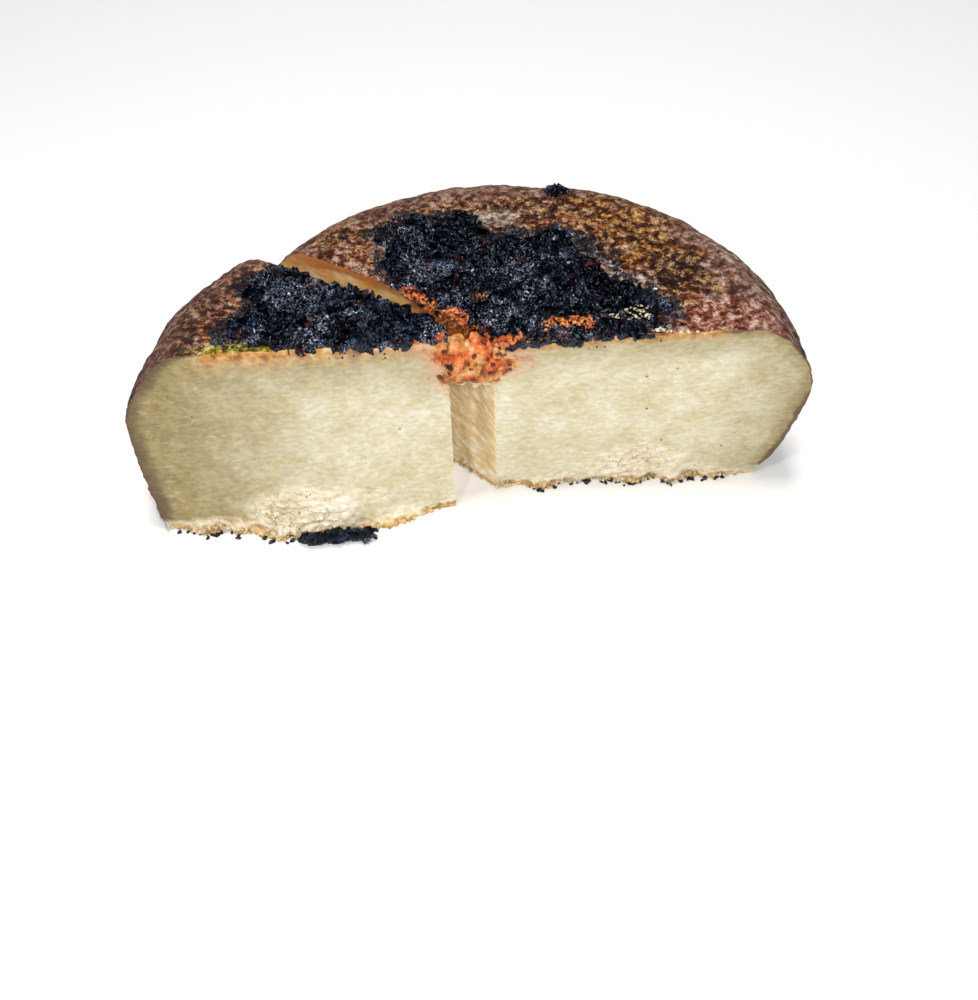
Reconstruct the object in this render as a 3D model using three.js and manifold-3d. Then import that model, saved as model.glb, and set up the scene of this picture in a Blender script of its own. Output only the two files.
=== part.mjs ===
// Half a wheel of aged sheep's cheese: a large portion, and a slice cut from it that stands a little
// way out, with the crust of pressed grape skins that the wheel ripened under still on the top.
// Sizes are in millimetres. The wheel's centre, where the large portion's two cuts meet on the
// underside, is the origin of every shape here: +X to the right, +Y to the back and +Z up.

import * as THREE from "three";
import { mergeVertices } from "three/addons/utils/BufferGeometryUtils.js";
import Module from "manifold-3d";

const wasm = await Module();
wasm.setup();

// From the wheel's centre to the middle of the part's footprint, which is the part's own origin.
const frameCentre = { x: -7.1, y: 37.6 };

const wheelRadius = 100; // at the rim's widest
const rimWidestAt = 0.617; // height of the widest place, as a share of the whole height
const rimRoundness = 1.56; // exponent of the rim's curve above that, where 2 is an ellipse
const skinGap = 0.3; // kept between the crust and the cheese under it

// Angles run from +X towards +Y. The slice's tip is where its own two cuts meet.
const largePortion = {
  tip: { x: 0, y: 0 },
  frontAngle: 1,
  backAngle: 143.1,
  height: 64.3,
  tilt: 4.5, // how much higher the top is at the right rim than at the tip
  sag: 4, // how far the top falls off towards the rim
  backSag: 0, // how much further it falls at the rim of the back cut
  topRatio: 0.812, // radius of the flat of the top, as a share of the widest
  baseRatio: 0.865, // radius of the underside, likewise
  footRoundness: 1.2, // exponent of the rim's curve below the widest place
  lean: 0, // how far the front cut leans back at the top
  backLean: 5.5, // how far the back cut leans away from the slice at the top
  skirt: 0, // how far the crumbled foot of the front cut stands out
  brokenFoot: 0, // share of the broken foot's depth
  steps: { out: 20, down: 10, round: 44 },
  seed: 3,
};
const slicePortion = {
  tip: { x: -14.1, y: -8.3 },
  frontAngle: 183,
  backAngle: 138.7,
  height: 66.2,
  tilt: -0.9,
  sag: 0.3,
  backSag: 7,
  topRatio: 0.811,
  baseRatio: 0.948,
  footRoundness: 1.56,
  lean: 9,
  backLean: 0,
  skirt: 8,
  brokenFoot: 1,
  steps: { out: 20, down: 10, round: 16 },
  seed: 8,
};

// Relief: how far it stands out, and the distance from one bump to the next.
const rimBumps = { depth: 1.3, spacing: 17 };
const topBumps = { depth: 0.8, spacing: 13 };
const knifeWaves = { depth: 0.5, spacing: 24 };
const footCrags = { depth: 2.6, spacing: 6.5, height: 13 };
const brokenFoot = { depth: 2.4, out: 0.55, halfWidth: 0.13, height: 10 }; // curd pushed out there

// Curd torn along with the slice's tip: a row of lumps on the large portion's tip, which fills the
// mouth of the gap between the two at the top. Half sizes, as of every lump here.
const tornCurd = {
  length: 5.4,
  width: 4.4,
  thick: 10,
  count: 3,
  first: { x: -11.5, y: 3.2, z: 54.5 },
  last: { x: -1.5, y: 3.4, z: 53.5 },
  detail: 3,
  seed: 71,
};

const edgeFade = 9; // relief of a cut dies away over this distance from it
const tipFade = 10; // and over this distance from the tip

// The crust: its outline is a radius every 20 degrees round a centre, from +X towards +Y.
const crustThickness = 4.2;
const crustOverhang = 1.3; // how far it hangs over a cut
const crustRoughness = { spacing: 6, share: 0.5 }; // of its thickness, from one thick place to the next
const crustEdge = { from: 0.7, to: 1.05 }; // it thins out between these shares of its outline's radius
const crustRings = 9;
const crustSides = 44;
const largeCrust = {
  centre: { x: 8, y: 28 },
  radii: [29, 27, 26, 28, 23, 24, 42, 55, 44, 38, 29, 27, 28, 28, 31, 35, 49, 48],
  hang: 0.8, // how far it reaches down the cut
  skinSpacing: 12,
  seed: 21,
};
const sliceCrust = {
  centre: { x: -50, y: 8 },
  radii: [34, 26, 23, 20, 21, 24, 34, 36, 24, 30, 25, 19, 18, 16, 14, 16, 26, 35],
  hang: 0.9,
  skinSpacing: 12.5,
  seed: 35,
};

// One pressed skin on the crust, the single clot that is stuck near the rim at the back, and the row of
// clots that lies along the slice's foot.
const skinSize = { length: 6.5, width: 4.8, thick: 1.9 };
const skinCrumple = 0.22; // how far its surface goes in and out, as a share of its size
const skinTip = 0.8; // radians between the most it is tipped either way
const skinMargin = 3; // kept clear inside the crust's outline
const rimClot = { length: 4.2, width: 3.2, thick: 1.6, fromCentre: 79.5, angle: 73, seed: 50 };
const footClots = {
  length: 5.6,
  width: 2.7,
  thick: 1.9,
  count: 3,
  first: { x: -60, y: -22 },
  last: { x: -46, y: -20.6 },
  seed: 61,
};

function radians(degrees) {
  return THREE.MathUtils.degToRad(degrees);
}

// A fixed random number from -1 to 1 for a corner of a grid.
function cornerValue(i, j, k, seed) {
  let hash = Math.imul(i, 374761393) ^ Math.imul(j, 668265263) ^ Math.imul(k, 1440662683);
  hash = Math.imul(hash ^ Math.imul(seed, 974711), 1274126177);
  hash = Math.imul(hash ^ (hash >>> 15), 2246822519);
  hash ^= hash >>> 13;
  return (hash >>> 0) / 2 ** 31 - 1;
}

// Smooth noise from -1 to 1: random values at the corners of a grid, blended in between.
function noise(x, y, z, spacing, seed) {
  const place = [x, y, z].map((value) => value / spacing);
  const low = place.map(Math.floor);
  const blend = place.map((value, axis) => THREE.MathUtils.smoothstep(value - low[axis], 0, 1));
  let total = 0;
  for (let corner = 0; corner < 8; corner++) {
    const step = [corner & 1, (corner >> 1) & 1, corner >> 2];
    const share = step.reduce((left, on, axis) => left * (on ? blend[axis] : 1 - blend[axis]), 1);
    total += share * cornerValue(low[0] + step[0], low[1] + step[1], low[2] + step[2], seed);
  }
  return total;
}

function bumps(relief, point, seed) {
  return relief.depth * noise(point.x, point.y, point.z, relief.spacing, seed);
}

// Seeded random numbers from 0 to 1.
function randomDraw(seed) {
  let count = 0;
  return () => (cornerValue(count++, seed, 7, 1) + 1) / 2;
}

// The rim's radius at a share of the height: narrower at the top and the foot than where it is widest.
function rimRadius(portion, up) {
  const above = up > rimWidestAt;
  const away = above ? (up - rimWidestAt) / (1 - rimWidestAt) : (rimWidestAt - up) / rimWidestAt;
  const least = above ? portion.topRatio : portion.baseRatio;
  const exponent = above ? rimRoundness : portion.footRoundness;
  const bulge = (1 - Math.min(away, 1) ** exponent) ** (1 / exponent);
  return wheelRadius * (least + (1 - least) * bulge);
}

// Height of the smooth top at a distance from the tip, and an angle between the front and back cuts.
function topHeight(portion, radius, angle) {
  const out = radius / wheelRadius;
  const round = (angle - radians(portion.frontAngle)) / radians(portion.backAngle - portion.frontAngle);
  const sag = portion.sag * out ** 3 + portion.backSag * out ** 3 * THREE.MathUtils.clamp(round, 0, 1);
  return portion.height + portion.tilt * out * Math.cos(angle) - sag;
}

// How far a cut stands out from its own plane.
function cutRelief(portion, point, radius, out, isFront) {
  const up = point.z / portion.height;
  const foot = 1 - THREE.MathUtils.smoothstep(point.z, 0, footCrags.height);
  const skirt = isFront ? portion.skirt * Math.sin(Math.PI * Math.min(out, 1)) * (1 - up) ** 3 : 0;
  const crags = bumps(footCrags, point, portion.seed + 1) * foot;
  const aside = Math.hypot((out - brokenFoot.out) / brokenFoot.halfWidth, point.z / brokenFoot.height);
  const pushed = portion.brokenFoot * brokenFoot.depth * (1 - THREE.MathUtils.smoothstep(aside, 0, 1));
  const broken = isFront ? pushed : 0;
  const leanBack = isFront ? 0 : portion.backLean * up;
  const relief = bumps(knifeWaves, point, portion.seed) + crags + skirt + broken - leanBack;
  return relief * THREE.MathUtils.smoothstep(radius, 0, tipFade);
}

// A point of a portion. out runs from the tip to the rim, up from the underside to the top and
// round from the front cut to the back cut, each from 0 to 1. grow moves the surface outwards.
function portionPoint(portion, out, up, round, grow) {
  const { frontAngle, backAngle, seed } = portion;
  const side = Math.sign(backAngle - frontAngle);
  const angle = radians(THREE.MathUtils.lerp(frontAngle, backAngle, round));
  const span = Math.abs(radians(backAngle - frontAngle));
  const radius = out * rimRadius(portion, up);
  const radial = new THREE.Vector3(Math.cos(angle), Math.sin(angle), 0);
  const smooth = radial.clone().multiplyScalar(radius);
  smooth.z = up * topHeight(portion, radius, angle);

  const point = smooth.clone().add(new THREE.Vector3(portion.tip.x, portion.tip.y, 0));
  point.addScaledVector(radial, bumps(rimBumps, smooth, seed + 2) * THREE.MathUtils.smoothstep(out, 0.75, 1));
  point.y += portion.lean * up * (1 - out * round);
  point.z += bumps(topBumps, smooth, seed + 3) * up ** 4 + grow * (2 * up - 1);
  for (const isFront of [true, false]) {
    const cutAngle = radians(isFront ? frontAngle : backAngle);
    const facing = isFront ? side : -side;
    const outward = new THREE.Vector3(Math.sin(cutAngle), -Math.cos(cutAngle), 0).multiplyScalar(facing);
    const along = (isFront ? round : 1 - round) * span * radius;
    const nearness = 1 - THREE.MathUtils.smoothstep(along, 0, edgeFade);
    point.addScaledVector(outward, cutRelief(portion, smooth, radius, out, isFront) * nearness);
    // Moving the tip by this much sets both cuts out by grow.
    point.addScaledVector(outward, grow / (1 - Math.cos(span)));
  }
  return point;
}

// Triangles between two rows of points, which may differ in number.
function zipRows(triangles, first, second) {
  let a = 0;
  let b = 0;
  while (a < first.length - 1 || b < second.length - 1) {
    const nextA = (a + 1) / (first.length - 1);
    const nextB = (b + 1) / (second.length - 1);
    if (b === second.length - 1 || (a < first.length - 1 && nextA <= nextB)) {
      triangles.push([first[a], first[a + 1], second[b]]);
      a += 1;
    } else {
      triangles.push([first[a], second[b + 1], second[b]]);
      b += 1;
    }
  }
}

// Triangles of a flat face inside a closed outline, turned the same way as the outline runs.
function fillOutline(triangles, outline) {
  const flat = outline.map((point) => new THREE.Vector2(point.x, point.y));
  const way = Math.sign(THREE.ShapeUtils.area(flat));
  for (const [a, b, c] of THREE.ShapeUtils.triangulateShape(flat, [])) {
    const isSame = Math.sign(THREE.ShapeUtils.area([flat[a], flat[b], flat[c]])) === way;
    const corners = isSame ? [a, b, c] : [a, c, b];
    triangles.push(corners.map((index) => outline[index]));
  }
}

// Shares from 0 to 1 that crowd together at the end, by the given power.
function shares(steps, power) {
  return Array.from({ length: steps + 1 }, (_, index) => 1 - (1 - index / steps) ** power);
}

// Heights down the cheese, from the top at 1 to the underside at 0, closer together at both.
function heightsDown(steps) {
  return Array.from({ length: steps + 1 }, (_, index) => (1 + Math.cos((Math.PI * index) / steps)) / 2);
}

function portionGeometry(portion, grow = 0, rise = 0) {
  const { steps } = portion;
  const outs = shares(steps.out, 1.15);
  const ups = heightsDown(steps.down);
  const point = (out, up, round) => {
    const place = portionPoint(portion, out, up, round, grow);
    place.z += rise * up;
    return place;
  };
  const arc = (out, up, count) => {
    return Array.from({ length: count + 1 }, (_, index) => point(out, up, count ? index / count : 0));
  };

  // From the tip across the top, then down the rim.
  const outside = outs.map((out) => arc(out, 1, Math.round(steps.round * out)));
  outside.push(...ups.slice(1).map((up) => arc(1, up, steps.round)));
  const front = ups.map((up) => outs.map((out) => point(out, up, 0)));
  const back = ups.map((up) => outs.map((out) => point(out, up, 1)).reverse());
  const triangles = [];
  for (const rows of [outside, front, back]) {
    rows.slice(1).forEach((row, index) => zipRows(triangles, rows[index], row));
  }
  const foot = [front.at(-1), outside.at(-1).slice(1), back.at(-1).slice(1, -1)].flat();
  fillOutline(triangles, foot);
  return closedGeometry(triangles);
}

function closedGeometry(triangles) {
  const inwards = triangles.reduce((sum, [a, b, c]) => sum + a.dot(b.clone().cross(c)), 0) < 0;
  const ordered = inwards ? triangles.map(([a, b, c]) => [a, c, b]) : triangles;
  const geometry = new THREE.BufferGeometry().setFromPoints(ordered.flat());
  return mergeVertices(geometry, 1e-4);
}

function solid(geometry) {
  const bare = geometry.clone();
  bare.deleteAttribute("normal");
  bare.deleteAttribute("uv");
  const merged = mergeVertices(bare, 1e-4);
  const vertProperties = new Float32Array(merged.attributes.position.array);
  const triVerts = new Uint32Array(merged.index.array);
  return new wasm.Manifold(new wasm.Mesh({ numProp: 3, vertProperties, triVerts }));
}

// The largest body of a solid, with the loose scraps of a cut dropped.
function largestBody(whole) {
  const bodies = whole.decompose();
  return bodies.reduce((best, body) => (body.volume() > best.volume() ? body : best));
}

function solidGeometry(whole) {
  const { vertProperties, triVerts } = whole.getMesh();
  const geometry = new THREE.BufferGeometry();
  geometry.setAttribute("position", new THREE.BufferAttribute(new Float32Array(vertProperties), 3));
  geometry.setIndex(new THREE.BufferAttribute(new Uint32Array(triVerts), 1));
  return geometry;
}

// The crust's outline at an angle round its centre, in turns from 0 to 1.
function outlineRadius(crust, turn) {
  const place = turn * crust.radii.length;
  const low = Math.floor(place);
  const near = crust.radii[low % crust.radii.length];
  const far = crust.radii[(low + 1) % crust.radii.length];
  return THREE.MathUtils.lerp(near, far, THREE.MathUtils.smoothstep(place - low, 0, 1));
}

// Height of the cheese's smooth top over a place on the plan.
function heightOver(portion, x, y) {
  const fromTip = new THREE.Vector2(x - portion.tip.x, y - portion.tip.y);
  return topHeight(portion, fromTip.length(), fromTip.angle());
}

// The crust's own slab: a turned disc whose rings are drawn out to the outline and laid on the top.
function crustSlab(portion, crust) {
  const profile = [new THREE.Vector2(0, -1), new THREE.Vector2(0.6, -1), new THREE.Vector2(1, -1)];
  for (const ring of shares(crustRings, 1.3).reverse()) {
    profile.push(new THREE.Vector2(ring, 1));
  }
  const disc = new THREE.LatheGeometry(profile, crustSides);
  const position = disc.attributes.position;
  for (let index = 0; index < position.count; index++) {
    const ring = Math.hypot(position.getX(index), position.getZ(index));
    const turn = (Math.atan2(position.getX(index), position.getZ(index)) / (2 * Math.PI) + 1) % 1;
    const reach = ring * outlineRadius(crust, turn);
    const x = crust.centre.x + reach * Math.cos(2 * Math.PI * turn);
    const y = crust.centre.y + reach * Math.sin(2 * Math.PI * turn);
    const rough = noise(x, y, 0, crustRoughness.spacing, crust.seed);
    const thinned = 1 - THREE.MathUtils.smoothstep(ring, crustEdge.from, crustEdge.to);
    const body = crustThickness * (0.8 + crustRoughness.share * rough) * thinned;
    const level = position.getY(index) > 0 ? body : -crust.hang * (1 + rough);
    position.setXYZ(index, x, y, heightOver(portion, x, y) + level);
  }
  return solid(disc);
}

// A crumpled grape skin, pressed flat.
function skinGeometry(size, seed, detail = 1) {
  const skin = new THREE.IcosahedronGeometry(1, detail);
  skin.deleteAttribute("normal");
  skin.deleteAttribute("uv");
  const geometry = mergeVertices(skin, 1e-4);
  const position = geometry.attributes.position;
  const place = new THREE.Vector3();
  for (let index = 0; index < position.count; index++) {
    place.fromBufferAttribute(position, index);
    place.multiplyScalar(1 + skinCrumple * noise(3 * place.x, 3 * place.y, 3 * place.z, 1, seed));
    position.setXYZ(index, place.x * size.length, place.y * size.width, place.z * size.thick);
  }
  return geometry;
}

// Skins stand all over the crust on a loose grid, each turned and tipped its own way.
function crustSkins(portion, crust) {
  const draw = randomDraw(crust.seed);
  const furthest = Math.max(...crust.radii);
  const skins = [];
  for (let y = -furthest; y <= furthest; y += crust.skinSpacing) {
    for (let x = -furthest; x <= furthest; x += crust.skinSpacing) {
      const spot = new THREE.Vector2(x, y);
      spot.x += (draw() - 0.5) * crust.skinSpacing * 0.7;
      spot.y += (draw() - 0.5) * crust.skinSpacing * 0.7;
      const tip = new THREE.Euler((draw() - 0.5) * skinTip, (draw() - 0.5) * skinTip, draw() * Math.PI);
      const scale = 0.75 + 0.5 * draw();
      const isOver = spot.length() < outlineRadius(crust, spot.angle() / (2 * Math.PI)) - skinMargin;
      if (isOver) {
        spot.add(crust.centre);
        const skin = skinGeometry(skinSize, crust.seed + skins.length);
        skin.scale(scale, scale, scale);
        skin.applyMatrix4(new THREE.Matrix4().makeRotationFromEuler(tip));
        skin.translate(spot.x, spot.y, heightOver(portion, spot.x, spot.y) + crustThickness * 0.75);
        skins.push(solid(skin));
      }
    }
  }
  return skins;
}

// The torn curd's lumps, overlapping, with their surface moved outwards by grow.
function tornCurdSolid(grow) {
  const lumps = [];
  for (let index = 0; index < tornCurd.count; index++) {
    const size = {
      length: tornCurd.length + grow,
      width: tornCurd.width + grow,
      thick: tornCurd.thick + grow,
    };
    const lump = skinGeometry(size, tornCurd.seed + index, tornCurd.detail);
    const place = new THREE.Vector3().copy(tornCurd.first);
    place.lerp(tornCurd.last, index / (tornCurd.count - 1));
    lump.translate(place.x, place.y, place.z);
    lumps.push(solid(lump));
  }
  return lumps.reduce((whole, lump) => whole.add(lump));
}

// The large portion with the torn curd on its tip, which clears the slice by a hair's gap.
function tornPortionGeometry() {
  const torn = tornCurdSolid(0).subtract(solid(portionGeometry(slicePortion, skinGap)));
  return solidGeometry(largestBody(solid(portionGeometry(largePortion)).add(torn)));
}

// The crust lies on the cheese with a hair's gap, and hangs a little way over its cuts.
function crustGeometry(portion, crust) {
  let whole = crustSlab(portion, crust);
  for (const skin of crustSkins(portion, crust)) {
    whole = whole.add(skin);
  }
  whole = whole.intersect(solid(portionGeometry(portion, crustOverhang, 4 * crustThickness)));
  whole = whole.subtract(solid(portionGeometry(portion, skinGap))).subtract(tornCurdSolid(skinGap));
  return solidGeometry(largestBody(whole));
}

function clotGeometry(portion, clot) {
  const angle = radians(clot.angle);
  const x = clot.fromCentre * Math.cos(angle);
  const y = clot.fromCentre * Math.sin(angle);
  const lump = skinGeometry(clot, clot.seed);
  lump.translate(x, y, heightOver(portion, x, y) + clot.thick * 0.3);
  return solidGeometry(largestBody(solid(lump).subtract(solid(portionGeometry(portion, skinGap)))));
}

// The clots overlap, stand on the floor and lean on the foot of the cut with a hair's gap.
function footClotsGeometry(portion, clots) {
  const lumps = [];
  for (let index = 0; index < clots.count; index++) {
    const share = index / (clots.count - 1);
    const lump = skinGeometry(clots, clots.seed + index);
    lump.computeBoundingBox();
    const x = THREE.MathUtils.lerp(clots.first.x, clots.last.x, share);
    const y = THREE.MathUtils.lerp(clots.first.y, clots.last.y, share);
    lump.translate(x, y, -lump.boundingBox.min.z);
    lumps.push(solid(lump));
  }
  const row = lumps.reduce((whole, lump) => whole.add(lump));
  return solidGeometry(largestBody(row.subtract(solid(portionGeometry(portion, skinGap)))));
}

// Pale, close-grained cheese with a mottled rind: one piece, so one material.
function cheeseMaterial() {
  return new THREE.MeshStandardMaterial({ color: 0xe6d8ad, roughness: 0.62, metalness: 0 });
}

// Blue-black grape skins, matted together and still wet.
function pomaceMaterial() {
  return new THREE.MeshStandardMaterial({ color: 0x14161f, roughness: 0.3, metalness: 0 });
}

function addPiece(group, name, geometry, material) {
  const piece = new THREE.Mesh(geometry, material);
  piece.name = name;
  piece.position.set(-frameCentre.x, -frameCentre.y, 0);
  group.add(piece);
}

const cheese = new THREE.Group();
addPiece(cheese, "right_portion", tornPortionGeometry(), cheeseMaterial());
addPiece(cheese, "left_slice", portionGeometry(slicePortion), cheeseMaterial());
addPiece(cheese, "right_pomace", crustGeometry(largePortion, largeCrust), pomaceMaterial());
addPiece(cheese, "left_pomace", crustGeometry(slicePortion, sliceCrust), pomaceMaterial());
addPiece(cheese, "rim_pomace", clotGeometry(largePortion, rimClot), pomaceMaterial());
addPiece(cheese, "foot_pomace", footClotsGeometry(slicePortion, footClots), pomaceMaterial());

export default cheese;
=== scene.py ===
import math

import bmesh
import bpy
import numpy as np
from mathutils import Matrix, Vector, geometry


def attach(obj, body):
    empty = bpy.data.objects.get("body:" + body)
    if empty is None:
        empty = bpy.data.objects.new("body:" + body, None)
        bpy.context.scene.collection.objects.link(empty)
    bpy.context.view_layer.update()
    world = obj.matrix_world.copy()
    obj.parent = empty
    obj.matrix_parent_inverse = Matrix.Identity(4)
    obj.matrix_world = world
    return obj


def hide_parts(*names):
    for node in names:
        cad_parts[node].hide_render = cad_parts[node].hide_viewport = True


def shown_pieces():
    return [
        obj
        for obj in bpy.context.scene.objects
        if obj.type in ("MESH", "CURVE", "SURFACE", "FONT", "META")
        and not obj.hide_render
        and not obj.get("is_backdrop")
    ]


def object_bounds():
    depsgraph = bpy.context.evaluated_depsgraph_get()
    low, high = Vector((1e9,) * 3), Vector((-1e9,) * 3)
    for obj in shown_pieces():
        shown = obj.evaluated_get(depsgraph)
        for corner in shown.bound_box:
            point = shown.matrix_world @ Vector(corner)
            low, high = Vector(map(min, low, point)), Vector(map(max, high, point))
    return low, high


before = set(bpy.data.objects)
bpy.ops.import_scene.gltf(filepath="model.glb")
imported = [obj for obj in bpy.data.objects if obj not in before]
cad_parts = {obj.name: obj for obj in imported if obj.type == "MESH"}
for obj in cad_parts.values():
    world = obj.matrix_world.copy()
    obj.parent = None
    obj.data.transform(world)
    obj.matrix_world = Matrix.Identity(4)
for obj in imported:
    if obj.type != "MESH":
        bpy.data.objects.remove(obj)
cadLow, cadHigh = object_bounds()
print("frame loaded:", ", ".join(sorted(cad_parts)))

# Shapes are worked out in millimetres in the wheel's own frame, whose origin is the middle of the
# uncut wheel on the floor, and turned into metres in the part's frame when a mesh is made.
wheel = {
    "centre": (7.1, -37.6),  # where the wheel's middle is in the part's frame
    "radius": 100,
    "widestAt": 0.617,
    "roundness": 1.56,
}
largePortion = {
    "node": "right_portion", "tip": (0, 0), "frontAngle": 1, "backAngle": 143.1,
    "height": 64.3, "tilt": 4.5, "sag": 4, "backSag": 0, "topRatio": 0.812, "baseRatio": 0.865,
    "footRoundness": 1.2, "lean": 0, "backLean": 5.5, "skirt": 0, "broken": 0, "seed": 3,
    "underDried": (17, 0.6), "amberDepth": 6,  # mm below the top, and how strongly
    "amberUnder": (-34, 36),  # middle, and half length, of the crust over the front cut
    "driedAndShadeReach": (34, 0.6),  # mm from the rim, and how strongly there: tan of dried curd, with painted shade
    "outSteps": 170, "upSteps": 116, "arcStep": 0.95,
    # x, z, half sizes and depth of the crumbled places of the front cut
    "crumbles": [(47, 10, 17, 9, 1.3), (20, 3, 13, 3.5, 0.7), (68, 4, 14, 3.5, 0.7)],
    # count, nearest and furthest from the tip
    "pits": {"front": (9, 0.5, 5.5), "back": (4, 0.5, 8), "seed": 5},
}
slicePortion = {
    "node": "left_slice", "tip": (-14.1, -8.3), "frontAngle": 183, "backAngle": 138.7,
    "height": 66.2, "tilt": -0.9, "sag": 0.3, "backSag": 7, "topRatio": 0.811, "baseRatio": 0.948,
    "footRoundness": 1.56, "lean": 9, "backLean": 0, "skirt": 8, "broken": 1, "seed": 8,
    # the slice's tan reaches far from the rim: dried curd, and painted shade darker towards its rim end
    "underDried": (24, 0.72), "amberDepth": 9.5, "amberUnder": (48, 42), "driedAndShadeReach": (74, 1.0),
    "outSteps": 200, "upSteps": 128, "arcStep": 0.72,
    "crumbles": [(-50, 8, 19, 9, 1.6), (-28, 11, 12, 5, 0.6), (-76, 3, 18, 3.5, 0.8)],
    "pits": {"front": (5, 0.5, 4.5), "back": (0, 0, 0), "seed": 6},
}
relief = {
    # height and spacing: what the solids have too, then what is too fine for them
    "rim": (1.3, 17), "top": (0.8, 13), "knife": (0.5, 24), "foot": (2.6, 6.5),
    "rimSwell": (0.55, 6), "rimGrain": (0.24, 2.6), "topSwell": (0.35, 4.5), "topGrain": (0.2, 2.2),
    "grain": (0.13, 1.6), "footGrain": (0.75, 2.6), "tipGrain": (0.35, 2.4),
    "flakes": 0.28, "cracks": 0.8, "pits": 0.8, "footHeight": 13, "edgeFade": 9, "tipFade": 10,
    "broken": {"depth": 2.4, "out": 0.55, "halfWidth": 0.13, "height": 10},
}


def perMm(size):
    return 1000 / size  # texture scale that gives a pattern of this many millimetres


def linear(text):
    parts = [int(text[i:i + 2], 16) / 255 for i in (1, 3, 5)]
    return [c / 12.92 if c <= 0.04045 else ((c + 0.055) / 1.055) ** 2.4 for c in parts] + [1]


# feeds a node's inputs, each with a value or with the socket that leads to it
def feed(node, inputs):
    for name, value in inputs.items():
        if isinstance(value, bpy.types.NodeSocket):
            node.id_data.links.new(value, node.inputs[name])
        else:
            isColour = isinstance(value, str) and value[:1] == "#"
            node.inputs[name].default_value = linear(value) if isColour else value


# Gives the function that adds a node to a tree. The kind may name its operation too. Inputs come in
# order, in a dictionary or by name, and settings by name. A ramp's stops are percents and colours.
# What comes back is one of the node's outputs.
def adderFor(tree):
    def add(kind, *inputs, out=0, stops="", **more):
        kind, *operation = kind.split()
        node = tree.nodes.new(kind if "Node" in kind else "ShaderNode" + kind)
        settings = {name: value for name, value in more.items() if name not in node.inputs}
        if operation:
            settings["operation"] = operation[0]
        for name, value in settings.items():
            setattr(node, name, value)
        if stops:
            elements, stops = node.color_ramp.elements, [stop.split() for stop in stops.split(",")]
            for _ in stops[2:]:
                elements.new(1)
            for element, (percent, colour) in zip(elements, stops):
                element.position, element.color = float(percent) / 100, linear(colour)
        feed(node, inputs[0] if inputs and isinstance(inputs[0], dict) else dict(enumerate(inputs)))
        feed(node, {name: value for name, value in more.items() if name not in settings})
        return node.outputs[out]
    return add


def link(thing):
    bpy.context.scene.collection.objects.link(thing)
    return thing


def cutAngles(portion):
    front, back = math.radians(portion["frontAngle"]), math.radians(portion["backAngle"])
    return front, back, np.sign(back - front)


# a cut's direction on the plan, and the way out of the cheese through it
def cutWay(portion, isFront):
    front, back, side = cutAngles(portion)
    angle, facing = (front, side) if isFront else (back, -side)
    return angle, np.array([math.sin(angle), -math.cos(angle), 0]) * facing


def smooth(value, low, high):
    part = np.clip((value - low) / (high - low), 0, 1)
    return part * part * (3 - 2 * part)


def fade(value, low, high):
    return 1 - smooth(value, low, high)


# the same fixed random numbers as the solids have, so that their bumps fall in the same places
def cornerValue(i, j, k, seed):
    i, j, k = (n.astype(np.int64).astype(np.uint32) for n in (i, j, k))
    mixed = i * np.uint32(374761393) ^ j * np.uint32(668265263) ^ k * np.uint32(1440662683)
    mixed = (mixed ^ np.uint32(seed * 974711 & 0xFFFFFFFF)) * np.uint32(1274126177)
    mixed = (mixed ^ (mixed >> np.uint32(15))) * np.uint32(2246822519)
    mixed ^= mixed >> np.uint32(13)
    return mixed / 2.0**31 - 1


def noise(points, spacing, seed):
    place = points / spacing
    low = np.floor(place)
    blend = smooth(place - low, 0, 1)
    total = 0
    for corner in range(8):
        step = np.array([corner & 1, corner >> 1 & 1, corner >> 2])
        share = np.prod(np.where(step, blend, 1 - blend), axis=1)
        total = total + share * cornerValue(*(low + step).T, seed)
    return total


def layered(points, spacing, seed, layers=3):
    return sum(noise(points, spacing / 2**n, seed + 31 * n) / 2**n for n in range(layers))


def creased(points, spacing, seed, layers=3):
    return sum((1 - 2.2 * abs(noise(points, spacing / 2**n, seed + 31 * n))) / 1.8**n for n in range(layers))


def bumps(name, kind, place, seed, *layers):
    height, spacing = relief[name]
    return height * kind(place, spacing, seed, *layers)


def rimRadius(portion, up):
    widest = wheel["widestAt"]
    above = up > widest
    away = np.where(above, (up - widest) / (1 - widest), (widest - up) / widest)
    least = np.where(above, portion["topRatio"], portion["baseRatio"])
    power = np.where(above, wheel["roundness"], portion["footRoundness"])
    bulge = (1 - np.minimum(away, 1) ** power) ** (1 / power)
    return wheel["radius"] * (least + (1 - least) * bulge)


def topHeight(portion, radius, angle):
    out = radius / wheel["radius"]
    front, back, _ = cutAngles(portion)
    sag = portion["sag"] + portion["backSag"] * np.clip((angle - front) / (back - front), 0, 1)
    return portion["height"] + portion["tilt"] * out * np.cos(angle) - sag * out**3


# how near places are to any of a few patches, from 0 to the patch's strength
def patchy(first, second, patches):
    total = np.zeros_like(first)
    for x, y, halfX, halfY, strength in patches:
        away = np.hypot((first - x) / halfX, (second - y) / halfY)
        total = np.maximum(total, strength * fade(away, 0.35, 1.25))
    return total


# small holes that bubbles left in a cut, as distance from the tip and height
def pitPlaces(portion, side):
    count, nearest, furthest = portion["pits"][side]
    draw = np.random.default_rng(portion["pits"]["seed"] + len(side))
    return np.stack([draw.uniform(nearest, furthest, count), draw.uniform(51.5, 62, count)], 1)


def pitDepth(portion, side, radius, height):
    depth = np.zeros_like(radius)
    for r, z in pitPlaces(portion, side):
        depth = np.maximum(depth, fade(np.hypot(radius - r, height - z), 0.4, 1.15))
    return depth


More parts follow.
